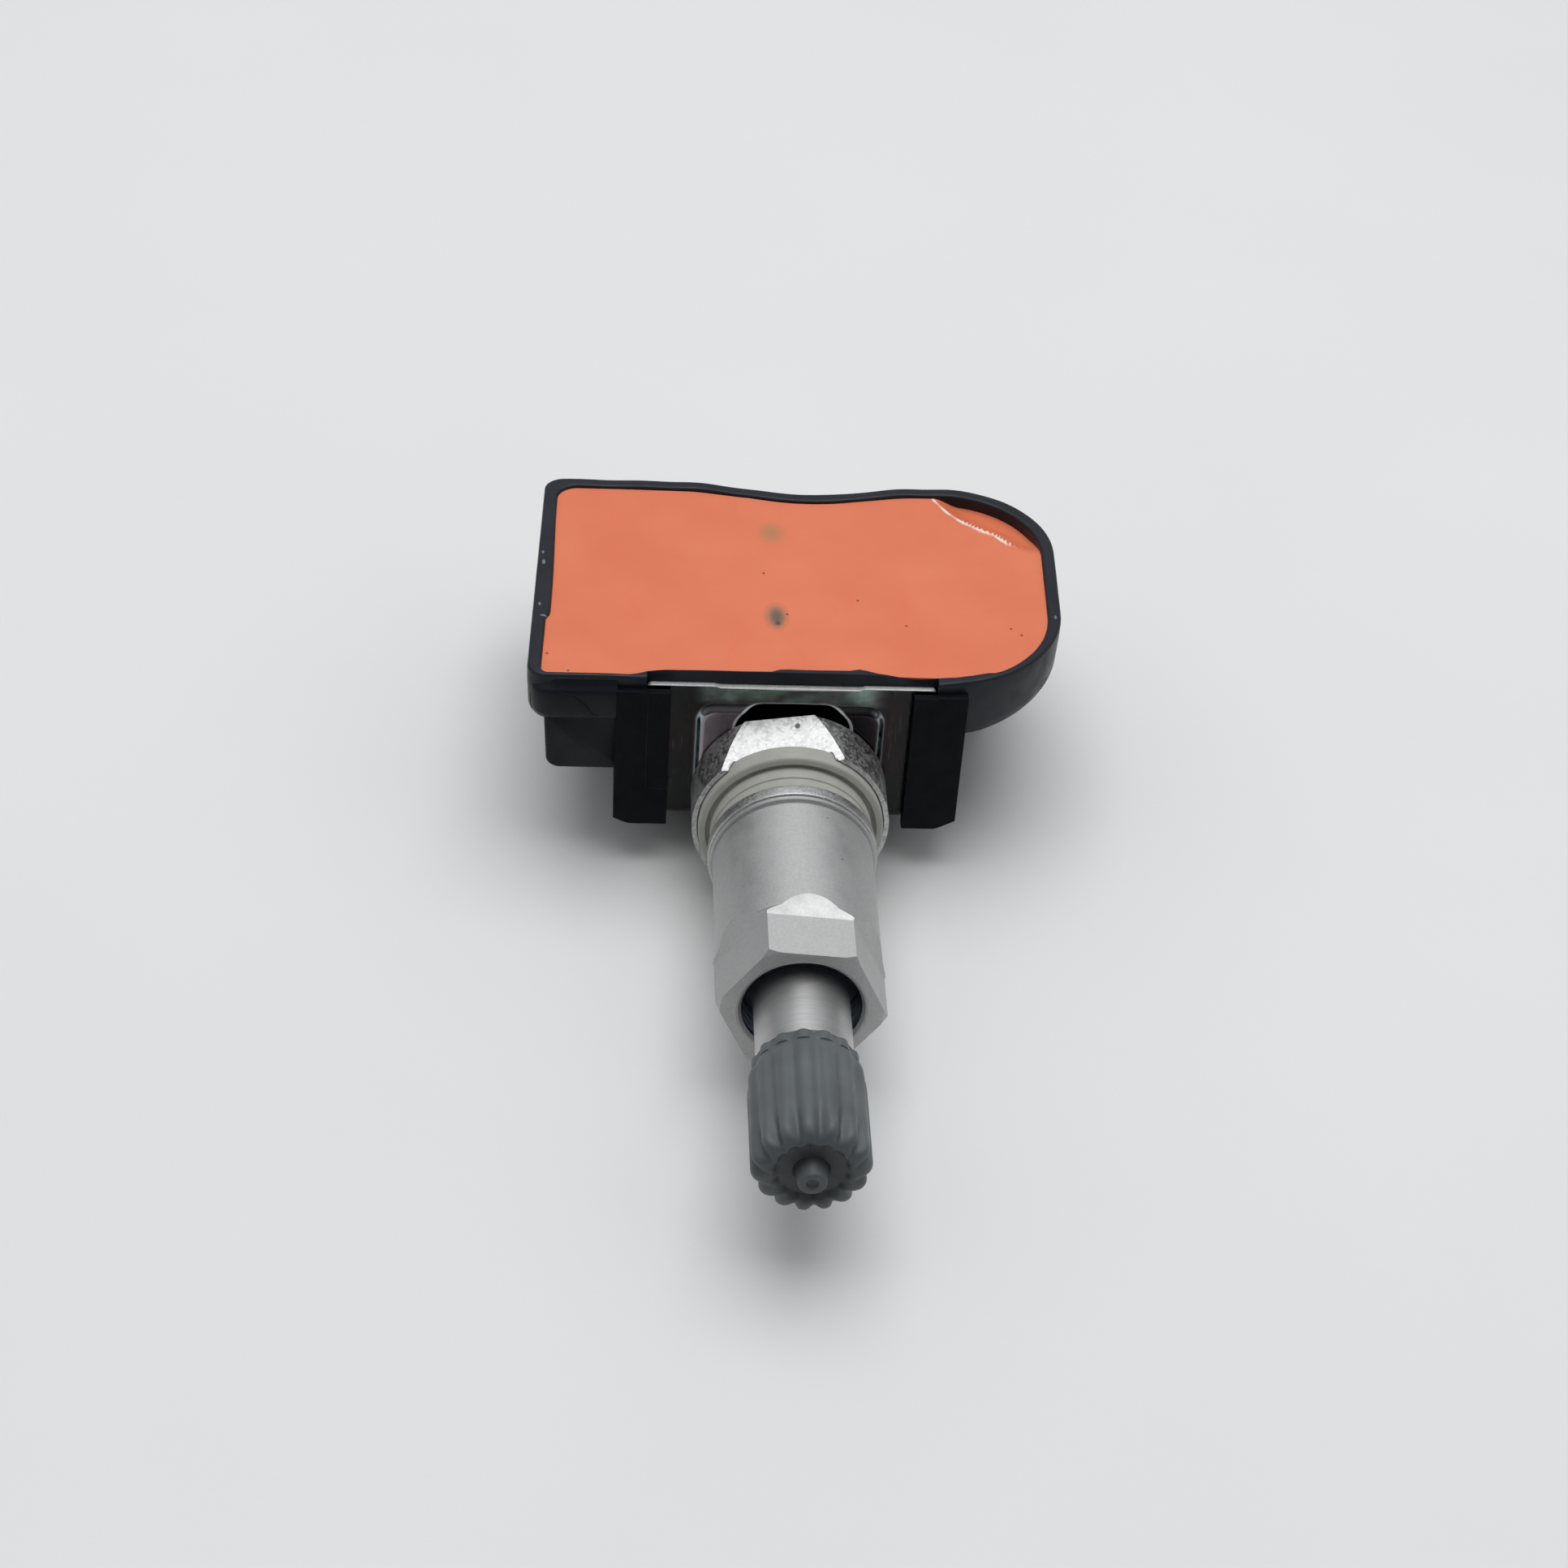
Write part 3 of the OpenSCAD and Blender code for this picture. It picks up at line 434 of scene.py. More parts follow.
class Shader:
    """A material in the making: a Principled shader and the patterns that feed it.

    Sizes, pitches, radii and depths are in millimetres.
    """

    def __init__(self, name: str) -> None:
        """Starts a material with nothing but its shader.

        Args:
            name: The material's name.
        """
        self.material = bpy.data.materials.new(name)
        self.material.use_nodes = True
        self.nodes = self.material.node_tree.nodes
        self.links = self.material.node_tree.links
        self.nodes.clear()
        self.surface = self.nodes.new("ShaderNodeBsdfPrincipled")
        output = self.nodes.new("ShaderNodeOutputMaterial")
        self.links.new(self.surface.outputs["BSDF"], output.inputs["Surface"])
        self.place = self.nodes.new("ShaderNodeTexCoord").outputs["Object"]

    def set(self, **values: float | tuple[float, ...]) -> None:
        """Sets the shader's own sockets, named with underscores for spaces."""
        for key, value in values.items():
            self.surface.inputs[key.replace("_", " ")].default_value = value

    def feed(self, key: str, source: Socket) -> None:
        """Links a pattern to one of the shader's sockets."""
        self.links.new(source, self.surface.inputs[key])

    def mapped(self, scale: Triple, location: Triple = (0, 0, 0)) -> Socket:
        """Object coordinates in metres, times a scale and moved.

        Args:
            scale: The factor along each axis.
            location: What is added along each axis.

        Returns:
            The coordinates.
        """
        node = self.nodes.new("ShaderNodeMapping")
        node.inputs["Scale"].default_value = scale
        node.inputs["Location"].default_value = location
        self.links.new(self.place, node.inputs["Vector"])
        return node.outputs["Vector"]

    def noise(self, size: float, detail: float = 2.0, stretch: Triple = (1, 1, 1)) -> Socket:
        """Cloudy noise.

        Args:
            size: The size of its features.
            detail: How many finer layers it has.
            stretch: How much longer its features are along each axis.

        Returns:
            The noise, from 0 to 1.
        """
        node = self.nodes.new("ShaderNodeTexNoise")
        node.inputs["Scale"].default_value = 1 / (size * MM)
        node.inputs["Detail"].default_value = detail
        self.links.new(self.mapped(tuple(1 / s for s in stretch)), node.inputs["Vector"])
        return node.outputs["Fac"]

    def cells(self, size: float, edges: bool = False) -> Socket:
        """Random cells.

        Args:
            size: The size of a cell.
            edges: Whether to give the distance to a cell's edge, and not a tone for each cell.

        Returns:
            The tone or the distance.
        """
        node = self.nodes.new("ShaderNodeTexVoronoi")
        node.inputs["Scale"].default_value = 1 / (size * MM)
        if edges:
            node.feature = "DISTANCE_TO_EDGE"
        self.links.new(self.mapped((1, 1, 1)), node.inputs["Vector"])
        return node.outputs["Distance" if edges else "Color"]

    def lines(self, pitch: float, axis: str = "Y", waver: float = 0.6) -> Socket:
        """Fine parallel lines. A wave texture repeats every 2 pi / 20 of its scaled length.

        Args:
            pitch: The distance from line to line.
            axis: The axis that they lie across.
            waver: How much they waver.

        Returns:
            The lines, from 0 to 1.
        """
        node = self.nodes.new("ShaderNodeTexWave")
        node.bands_direction = axis
        node.inputs["Scale"].default_value = 2 * math.pi / 20 / (pitch * MM)
        node.inputs["Distortion"].default_value = waver
        node.inputs["Detail"].default_value = 1.0
        self.links.new(self.place, node.inputs["Vector"])
        return node.outputs["Fac"]

    def spot(self, at: Triple, radii: Triple) -> Socket:
        """A soft spot: 1 at a point, falling evenly to 0 on an ellipsoid round it.

        Args:
            at: The point.
            radii: The ellipsoid's radius along each axis.

        Returns:
            The spot.
        """
        node = self.nodes.new("ShaderNodeTexGradient")
        node.gradient_type = "SPHERICAL"
        where = self.mapped(tuple(1 / (r * MM) for r in radii), tuple(-a / r for a, r in zip(at, radii)))
        self.links.new(where, node.inputs["Vector"])
        return node.outputs["Fac"]

    def marks(self, name: str) -> Socket:
        """A value kept at each of the mesh's points."""
        node = self.nodes.new("ShaderNodeAttribute")
        node.attribute_name = name
        return node.outputs["Fac"]

    def ramp(self, factor: Socket, stops: Sequence[tuple[float, Colour]]) -> Socket:
        """Colours along a factor, each with its place from 0 to 1."""
        node = self.nodes.new("ShaderNodeValToRGB")
        set_ramp(node, stops)
        self.links.new(factor, node.inputs["Fac"])
        return node.outputs["Color"]

    def levels(self, factor: Socket, *stops: tuple[float, float]) -> Socket:
        """Grey levels along a factor, each with its place from 0 to 1."""
        return self.ramp(factor, [(place, grey(level)) for place, level in stops])

    def matte(self, pattern: Socket, low: float, high: float, start: float = 0.3, end: float = 0.7) -> None:
        """Lets the roughness follow a pattern, from low at its start to high at its end."""
        self.feed("Roughness", self.levels(pattern, (start, low), (end, high)))

    def sum(self, first: Socket, second: Socket, share: float) -> Socket:
        """Adds a share of one factor to another.

        Args:
            first: The factor taken whole.
            second: The factor added.
            share: How much of it is added.

        Returns:
            The sum.
        """
        node = self.nodes.new("ShaderNodeMath")
        node.operation = "MULTIPLY_ADD"
        node.inputs[1].default_value = share
        self.links.new(second, node.inputs[0])
        self.links.new(first, node.inputs[2])
        return node.outputs["Value"]

    def mix(self, factor: Socket, low: Socket | Colour, high: Socket | Colour) -> Socket:
        """Blends two colours. The Mix node's colour sockets are its numbers 6 and 7.

        Args:
            factor: The share of the second colour.
            low: The first colour.
            high: The second colour.

        Returns:
            The blend.
        """
        node = self.nodes.new("ShaderNodeMix")
        node.data_type = "RGBA"
        self.links.new(factor, node.inputs[0])
        for index, value in ((6, low), (7, high)):
            if isinstance(value, tuple):
                node.inputs[index].default_value = value
            else:
                self.links.new(value, node.inputs[index])
        return node.outputs[2]

    def bump(self, height: Socket, depth: float, under: Socket | None = None) -> Socket:
        """Relief, on top of other relief where given.

        Args:
            height: The relief's pattern.
            depth: The depth that 1 stands for.
            under: The relief below it.

        Returns:
            The shading normal.
        """
        node = self.nodes.new("ShaderNodeBump")
        node.inputs["Distance"].default_value = depth * MM
        self.links.new(height, node.inputs["Height"])
        if under is not None:
            self.links.new(under, node.inputs["Normal"])
        return node.outputs["Normal"]


@dataclass(frozen=True)
class Finish:
    """A finish of one kind, which makes a material of its name."""

    name: str

    def material(self) -> bpy.types.Material:
        """Makes the material: a new shader, fed by this kind's patterns."""
        shader = Shader(self.name)
        self.paint(shader)
        return shader.material

    def paint(self, shader: Shader) -> None:
        """Feeds the shader. Each kind of finish has its own patterns."""
        raise NotImplementedError


@dataclass(frozen=True)
class MouldedPlastic(Finish):
    """Injection-moulded plastic: an eroded, slightly uneven skin with faint flow, and painted shade where it
    is given.

    Scars are places where the skin is scratched pale, and painted_shade is a place where shade is painted on
    as a darker colour.
    """

    dark: Colour
    pale: Colour
    roughness: float = 0.45
    grain: float = 0.16
    gloss: float = 0.35
    scars: tuple[Patch, ...] = ()
    painted_shade: Patch | None = None

    def paint(self, shader: Shader) -> None:
        """Clouds of two tones, then scars and painted shade over them."""
        clouds = shader.noise(5.0, 4)
        grain = shader.noise(self.grain, 2)
        colour = shader.ramp(clouds, [(0.35, self.dark), (0.75, self.pale)])
        for place, radii in self.scars:
            scratch = shader.sum(shader.spot(place, radii), shader.noise(0.3, 3), -0.5)
            patch = shader.levels(scratch, (0.05, 0), (0.35, 0.75))
            colour = shader.mix(patch, colour, linear(128, 130, 142))
        # Painted shade: where painted_shade is given, a spot is darkened towards a dark grey, standing in for
        # the shade it lies in.
        if self.painted_shade is not None:
            shade = shader.levels(shader.spot(*self.painted_shade), (0.0, 0), (0.7, 0.9))
            colour = shader.mix(shade, colour, linear(36, 38, 44))
        shader.feed("Base Color", colour)
        shader.matte(shader.noise(1.6, 3), self.roughness - 0.07, self.roughness + 0.1)
        soft = shader.bump(shader.noise(2.2, 1), 0.03)
        shader.feed("Normal", shader.bump(grain, 0.006, soft))
        shader.set(Specular_IOR_Level=self.gloss)


@dataclass(frozen=True)
class PottingResin(Finish):
    """Cast orange resin: a satin skin, faint flow marks, dust, and two posts that show through.

    A post is the middle, the radii and the tone of a shadow that it casts through the skin.
    """

    posts: tuple[tuple[Triple, Triple, Colour], ...] = ()
    specks: tuple[Triple, ...] = ()
    roughness: float = 0.3

    def paint(self, shader: Shader) -> None:
        """Flow marks, then posts and specks, then the painted highlight on the wrinkle."""
        body = shader.ramp(shader.noise(7.0, 3), [(0.3, linear(218, 115, 80)), (0.75, linear(224, 124, 88))])
        flow = shader.noise(2.4, 5, stretch=(1.0, 3.0, 1.0))
        colour = shader.mix(shader.levels(flow, (0.62, 0), (0.72, 0.35)), body, linear(222, 106, 74))
        for at, radii, tone in self.posts:
            shade = shader.levels(shader.spot(at, radii), (0.0, 0), (0.25, 0.3), (0.75, 0.92))
            colour = shader.mix(shade, colour, tone)
        for speck in self.specks:
            dot = shader.levels(shader.spot(speck, (0.15, 0.18, 0.6)), (0.0, 0), (0.4, 0.85))
            colour = shader.mix(dot, colour, linear(112, 46, 34))
        # Painted highlight: the marked crest and ripples are painted near white, for the lamp's glint on the
        # glossy wrinkle.
        highlight_share = shader.levels(shader.marks("painted_highlight"), (0.1, 0), (0.8, 0.9))
        shader.feed("Base Color", shader.mix(highlight_share, colour, linear(255, 232, 220)))
        shader.matte(shader.noise(3.0, 3), self.roughness, self.roughness + 0.12)
        ripple = shader.bump(shader.noise(6.0, 1), 0.05)
        shader.feed("Normal", shader.bump(shader.noise(0.35, 2), 0.004, ripple))
        shader.set(Specular_IOR_Level=0.4, Subsurface_Weight=0.12,
                   Subsurface_Radius=(0.9, 0.35, 0.2), Subsurface_Scale=0.6 * MM)


@dataclass(frozen=True)
class PlatedSheet(Finish):
    """Bright rolled sheet with a dark passivated plating that has faint green and pink tints."""

    level: float = 0.024

    def paint(self, shader: Shader) -> None:
        """Tinted plating, the pad's left half and the band above it painted lighter as painted light, wear,
        and the painted reflection on the pad's sides and the slot's arch.
        """
        low = self.level
        tints = [(0.3, (low * 0.9, low * 1.08, low * 1.0, 1)), (0.5, grey(low)),
                 (0.62, (low * 1.25, low * 1.0, low * 1.02, 1)),
                 (0.75, (low * 0.95, low * 1.0, low * 1.2, 1))]
        colour = shader.ramp(shader.noise(5.0, 2, stretch=(1.6, 1, 1)), tints)
        wear = shader.levels(shader.noise(0.5, 5, stretch=(0.35, 1, 4)), (0.6, 0), (0.78, 0.35))
        # Painted light: the pad's left half is painted lighter and pinkish, where its face catches more
        # light.
        colour = shader.mix(shader.marks("raised"), colour, (0.25, 0.215, 0.23, 1))
        # Painted reflection: the band above the pad is painted lighter, in the plating's own green tint, for
        # the bright surroundings it reflects.
        green = shader.ramp(shader.noise(2.2, 3, stretch=(1.8, 1, 0.8)),
                            [(0.4, (0.17, 0.16, 0.16, 1)), (0.6, (0.32, 0.45, 0.4, 1))])
        colour = shader.mix(shader.marks("above"), colour, green)
        worn = shader.mix(wear, colour, grey(low * 4))
        # Painted reflection: the pad's sloped sides and the rim of the slot's arch are painted pale, for the
        # bright surroundings they reflect.
        reflection_share = shader.levels(shader.marks("painted_light"), (0.08, 0), (0.85, 1))
        shader.feed("Base Color", shader.mix(reflection_share, worn, (0.36, 0.4, 0.42, 1)))
        shader.matte(shader.noise(1.2, 4), 0.12, 0.3, end=0.75)
        wavy = shader.bump(shader.noise(4.0, 1), 0.05)
        shader.feed("Normal", shader.bump(shader.noise(0.12, 2, stretch=(1, 1, 8)), 0.002, wavy))
        shader.set(Metallic=1.0)


@dataclass(frozen=True)
class CastZinc(Finish):
    """Zinc-plated metal whose crystals sparkle: each small cell has its own tone and gloss.

    Chips are dark places in the plating, each a middle and radii.
    """

    dark: float = 0.32
    bright: float = 0.6
    size: float = 0.26
    relief: float = 0.006
    chips: tuple[Patch, ...] = ()

    def paint(self, shader: Shader) -> None:
        """Cells mottled by noise, with chips over them."""
        tone = shader.cells(self.size)
        mottle = shader.sum(tone, shader.noise(0.9, 3), 0.5)
        colour = shader.levels(mottle, (0.3, self.dark), (0.95, self.bright))
        for place, radii in self.chips:
            gap = shader.levels(shader.spot(place, radii), (0.0, 0), (0.3, 0.9))
            colour = shader.mix(gap, colour, grey(0.06))
        shader.feed("Base Color", colour)
        shader.matte(tone, 0.36, 0.54, 0.1, 0.9)
        facets = shader.bump(tone, self.relief)
        shader.feed("Normal", shader.bump(shader.noise(0.35, 3), self.relief, facets))
        shader.set(Metallic=1.0)


@dataclass(frozen=True)
class BlastedMetal(Finish):
    """Light alloy blasted with fine beads: matte, even, with a faint grain and a few dark pits."""

    level: float = 0.6
    roughness: float = 0.5

    def paint(self, shader: Shader) -> None:
        """Fine grain with pits where slower noise is lowest."""
        base = shader.levels(shader.noise(0.22, 3), (0.3, self.level * 0.93), (0.7, self.level * 1.06))
        pits = shader.levels(shader.noise(0.55, 1), (0.16, 1), (0.2, 0))
        shader.feed("Base Color", shader.mix(pits, base, grey(self.level * 0.45)))
        shader.matte(shader.noise(2.0, 2), self.roughness - 0.05, self.roughness + 0.05)
        shader.feed("Normal", shader.bump(shader.noise(0.09, 2), 0.004))
        shader.set(Metallic=1.0)


@dataclass(frozen=True)
class TurnedMetal(Finish):
    """Metal straight from the lathe, with fine rings round the valve's axis."""

    colour: Colour
    pitch: float = 0.2
    depth: float = 0.004
    roughness: float = 0.34

    def paint(self, shader: Shader) -> None:
        """Streaks round the axis, and rings that carry both gloss and relief."""
        tone = shader.noise(0.6, 3, stretch=(4, 0.4, 4))
        shader.feed("Base Color", shader.ramp(tone, [(0.3, toned(self.colour, 0.86)), (0.7, self.colour)]))
        rings = shader.lines(self.pitch)
        shader.matte(rings, self.roughness - 0.05, self.roughness + 0.06, 0.2, 0.8)
        shader.feed("Normal", shader.bump(rings, self.depth))
        shader.set(Metallic=1.0)


@dataclass(frozen=True)
class Rubber(Finish):
    """Moulded rubber: matte, with a fine bloom."""

    colour: Colour
    roughness: float = 0.62

    def paint(self, shader: Shader) -> None:
        """Patches of paler bloom over the rubber."""
        dusty = tuple(min(1.0, c) for c in toned(self.colour, 1.12))
        shader.feed("Base Color", shader.ramp(shader.noise(1.4, 4), [(0.35, self.colour), (0.7, dusty)]))
        shader.matte(shader.noise(0.8, 2), self.roughness - 0.06, self.roughness + 0.08)
        shader.feed("Normal", shader.bump(shader.noise(0.14, 2), 0.004))
        shader.set(Specular_IOR_Level=0.35)


@dataclass(frozen=True)
class PlainMetal(Finish):
    """Small machined or drawn metal with a slightly uneven sheen, less metallic under a plating."""

    colour: Colour
    roughness: float = 0.3
    grain: float = 0.3
    metallic: float = 1.0

    def paint(self, shader: Shader) -> None:
        """One noise for tone and relief, another for its sheen."""
        tones = [(0.3, toned(self.colour, 0.8)), (0.65, self.colour)]
        shader.feed("Base Color", shader.ramp(shader.noise(self.grain, 3), tones))
        shader.matte(shader.noise(1.0, 3), self.roughness - 0.06, self.roughness + 0.1)
        shader.feed("Normal", shader.bump(shader.noise(self.grain, 2), 0.004))
        shader.set(Metallic=self.metallic)


@dataclass(frozen=True)
class BoardLaminate(Finish):
    """Green solder mask over glass cloth, with the copper pattern faint beneath it."""

    def paint(self, shader: Shader) -> None:
        """Tracks along the edges of large cells, over a weave of crossing lines."""
        gap = shader.cells(1.4, edges=True)
        shader.feed("Base Color", shader.ramp(gap, [(0.1, linear(38, 110, 70)), (0.2, linear(24, 82, 52))]))
        weave = shader.sum(shader.lines(0.5, "X", 0.1), shader.lines(0.5, "Y", 0.1), 1.0)
        shader.feed("Normal", shader.bump(weave, 0.01))
        shader.set(Roughness=0.32)


@dataclass(frozen=True)
class WoundWire(Finish):
    """Enamelled copper wire, wound in close turns."""

    wire: float = 0.12

    def paint(self, shader: Shader) -> None:
        """Each turn of the wire is one line, darker in the gaps."""
        turns = shader.lines(self.wire, "Y", 0.3)
        copper = [(0.2, linear(110, 48, 24)), (0.7, linear(196, 112, 64))]
        shader.feed("Base Color", shader.ramp(turns, copper))
        shader.feed("Normal", shader.bump(turns, 0.04))
        shader.set(Metallic=0.8, Roughness=0.32)


@dataclass(frozen=True)
class Tabletop(Finish):
    """The pale matte table under the object."""

    level: float = 0.76

    def paint(self, shader: Shader) -> None:
        """Two nearly equal tones in wide clouds."""
        tone = shader.noise(40.0, 3)
        low, high = self.level * 0.985, self.level * 1.01
        stops = [(0.3, (low, low, low * 1.005, 1)), (0.7, (high * 0.995, high, high, 1))]
        shader.feed("Base Color", shader.ramp(tone, stops))
        shader.feed("Normal", shader.bump(shader.noise(0.5, 2), 0.01))
        shader.set(Roughness=0.8, Specular_IOR_Level=0.2)


def dress(thing: Thing, finishes: Sequence[bpy.types.Material], body: str, slot: str,
          *nodes: str) -> None:
    """Gives a piece its finishes and its body, and hides the CAD nodes that it stands for.

    Args:
        thing: The piece.
        finishes: Its materials, one for each material slot.
        body: The CAD body that carries it.
        slot: The record's material slot; not used.
        nodes: The CAD nodes that it replaces.
    """
    slots = thing.data.materials
    for index, finish in enumerate(finishes):
        if index < len(slots):
            slots[index] = finish
        else:
            slots.append(finish)
    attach(thing, body)
    if nodes:
        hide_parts(*nodes)
    LOG.info("%s: %d faces on %s", thing.name, len(thing.data.polygons), body)


# Sub-assemblies


@dataclass
class Housing:
    """The moulded tub with its ears, ledge and foot, and the resin that fills it.

    Places in plan are measured from the valve's plane and from the bracket's front face, and
    heights from the rim, as on the real moulding; origin shifts them into the part's frame.
    """

    wall: float = 1.2
    rim_round: float = 0.28
    corner_r: float = 1.6
    rear_lobe_r: float = 9.3
    front_lobe_r: float = 11.3
    waist_r: float = 20.0
    waist_depth: float = 2.0
    shoulder_r: float = 14.0
    shoulder_gap: float = 8.6
    side_lean: float = 0.9
    side_swell: float = 0.34
    sag: float = 1.15
    front_y: float = -0.5
    ears_w: float = 29.7
    mouth_w: float = 20.5
    ear_h: float = 14.4
    ear_drop: float = 1.2
    block_back: float = 17.2
    ledge_back: float = 0.35
    lip: float = 1.2
    foot_w: float = 5.8
    foot_h: float = 5.4
    band_h: float = 4.6
    sheet: float = 0.8
    fit: float = 0.1
    past: float = 1.0
    resin_fit: float = 0.02
    wrinkle: tuple[tuple[float, float], tuple[float, float]] = ((13.65, 28.19), (0.66, -0.751))
    wrinkle_l: float = 7.8
    wrinkle_bow: float = 0.72
    strip_s: tuple[float, float] = (-0.6, 10.6)
    strip_d: tuple[float, float] = (-0.34, 0.9)
    box: Box = field(default_factory=lambda: Box.of("housing"))
    bracket: Box = field(default_factory=lambda: Box.of("bracket"))
    potting: Box = field(default_factory=lambda: Box.of("potting"))

    def __post_init__(self) -> None:
        """Works out the places and levels that come from the frame."""
        self.origin = np.array([0, self.bracket.low[1] + 0.5, self.box.high[2]])
        self.left = float(self.box.low[0])
        self.right = float(self.box.high[0])
        self.back = float(self.box.high[1] - self.origin[1])
        self.belly = self.level(self.box.low)
        self.middle = float(self.bracket.middle[0])
        self.waist_x = self.right - self.rear_lobe_r - 3.75 - self.shoulder_gap
        self.tub_front = self.sheet + 0.8
        self.step = -self.ear_drop + 0.35
        self.board = self.level(Box.of("circuit_board").low)

    def level(self, point: Array) -> float:
        """A point's height above the rim."""
        return float(point[2] - self.origin[2])

    def placed(self, points: Array) -> Array:
        """Moves points from the moulding's own origin into the part's frame."""
        return points + self.origin

    def outline(self, side: float, front: float, back: float, k: float, tight: float = 0.0) -> Array:
        """The tub's outline, drawn in from its sides, front and back.

        Args:
            side: How far it is drawn in from the left and the right.
            front: The same from the front.
            back: The same from the back.
            k: The factor of its larger radii.
            tight: How much smaller the left front corner's radius is.

        Returns:
            The outline in plan.
        """
        x0, x1 = self.left + side, self.right - side
        y0, y1 = self.front_y + front, self.back - back
        corner = self.corner_r + 3 * (1 - k)
        return rounded([
            (x0 - 0.05, y0, corner - tight), (x1 - self.side_lean, y0, self.front_lobe_r * k),
            (x1 + 0.4, y1, self.rear_lobe_r * k),
            (self.waist_x + self.shoulder_gap, y1 - 0.2, self.shoulder_r * k),
            (self.waist_x, y1 - self.waist_depth, self.waist_r * k),
            (self.waist_x - 10.4, y1, self.shoulder_r * k), (x0 + self.side_lean, y1, corner)], 22, 44)

    def stretched(self, plan: Array, side: float, front: float, back: float) -> Array:
        """Stretches an outline to the extent that insets leave: its shares of both lengths stay."""
        low = np.array([self.left + side, self.front_y + front])
        high = np.array([self.right - side, self.back - back])
        return low + (plan - plan.min(0)) / np.ptp(plan, axis=0) * (high - low)

    def inner_outline(self, inset: float) -> Array:
        """The outline inside the wall.

        Its front edge follows a line of steps, where the brow over the bracket begins, and its
        left edge swells towards the resin over part of its length.

        Args:
            inset: How far it is drawn in.

        Returns:
            The outline in plan.
        """
        plan = self.outline(inset, 0.5 + inset - self.wall, inset, 1 - 0.09 * inset / self.wall,
                            1.1 * inset / self.wall)
        edge = np.array([
            (self.left, -0.04), (-13.9, -0.03), (-13.6, 0.12), (-12.6, 0.2), (-12.4, 0.54), (-11.15, 0.56),
            (-10.95, 0.66), (-1.6, 0.68), (-1.2, 1.06), (4.6, 1.02), (5.6, 1.32), (6.8, 0.84), (8.6, 0.64),
            (12.4, 0.58), (13.5, 0.5), (15.0, 0.75), (16.5, 1.2)])
        front = np.interp(plan[:, 0], edge[:, 0], edge[:, 1]) + (inset - self.wall) / 2
        near = plan[:, 1] < 6
        plan[near, 1] = np.maximum(plan[near, 1], front[near])
        side = plan[:, 0] < self.left + 4
        swell = smooth_step(plan[:, 1], 8.0, 8.5) * (1 - smooth_step(plan[:, 1], 10, 27)) * self.side_swell
        plan[side, 0] += swell[side]
        return plan

    def deep_outline(self, inset: float) -> Array:
        """The outline of the tub below its step, where its front stays behind the bracket's groove."""
        plan = self.inner_outline(inset)
        plan[:, 1] = np.maximum(plan[:, 1], self.tub_front)
        return plan

    def rim_section(self, plan: Array, turn: float) -> Array:
        """One outline of the rounded rim, each point as low as the rim dips there.

        The rim has two shallow dips in the front wall and a slight waviness, and a point on its
        rounding lies lower by the radius times one less the turn's sine.

        Args:
            plan: The outline in plan.
            turn: Where it lies on the rounding, up to a right angle at the top.

        Returns:
            The outline with its heights.
        """
        x, y = plan.T
        front = 1 - smooth_step(y, 1.5, 4)
        dips = 0.42 * bell(x, 10.4, 2.2) + 0.06 * bell(x, -13.2, 1.7)
        dip = dips * front + 0.03 + 0.03 * np.sin(x * 1.1) * np.sin(y * 0.7)
        return np.column_stack([plan, self.rim_round * (math.sin(turn) - 1) - dip])

    def tub(self) -> Thing:
        """The tub: a loft from the belly up, over the rounded rim and down inside the wall.

        The belly's sections are one outline, stretched to each level's extent. Above them each
        section is the outline drawn in by its own insets, hanging low at the right front. The
        rim is a quarter circle of outlines on either side.

        Returns:
            The tub with the bracket's room and the inner wells cut out.
        """
        low, band = self.belly, -self.band_h
        turn_in = self.outline(2.85, 12.0, 1.95, 0.53)
        belly = [(low, 6.2, 18.2, 4.8), (low + 0.12, 5.6, 17.6, 4.2), (low + 0.5, 4.5, 16.5, 3.1),
                 (low + 1.7, 3.6, 15.0, 2.4)]
        sections = [lifted(self.stretched(turn_in, *insets), height) for height, *insets in belly]
        walls = [(-12.6, 2.85, 12.0, 1.95, 0.53), (-9.3, 1.8, 7.4, 1.3, 0.7),
                 (band - 2.4, 0.9, 3.4, 0.7, 0.85), (band - 0.8, 0.4, 0.95, 0.33, 0.94),
                 (band, 0.22, 0.3, 0.18, 0.97), (band + 0.6, 0.1, 0.1, 0.08, 0.99), (-1.6, 0, 0, 0, 1)]
        for height, *insets in walls:
            plan = self.outline(*insets)
            x, y = plan.T
            hang = smooth_step(x, 6, 12) * (1 - smooth_step(x, 15, 22.5)) * (1 - smooth_step(y, 4, 11))
            sections.append(np.column_stack([plan, height - self.sag * hang * bell(height, band - 0.1, 1.2)]))
        turns = np.linspace(0, math.pi / 2, 6)
        for a in turns:
            inset = self.rim_round * (1 - math.cos(a))
            sections.append(self.rim_section(self.outline(inset, inset, inset, 1 - 0.03 * inset), a))
        for a in turns[::-1]:
            inset = self.wall - self.rim_round * (1 - math.cos(a))
            sections.append(self.rim_section(self.inner_outline(inset), a))
        sections.append(lifted(self.inner_outline(self.wall), self.step))
        for height in (self.step, self.board - self.resin_fit):
            sections.append(lifted(self.deep_outline(self.wall), height))
        thing = loft("housing_tub", [self.placed(s) for s in sections], crease=35)
        carve(thing, self.bracket_room() + self.inner_wells(), crease=35)
        return thing

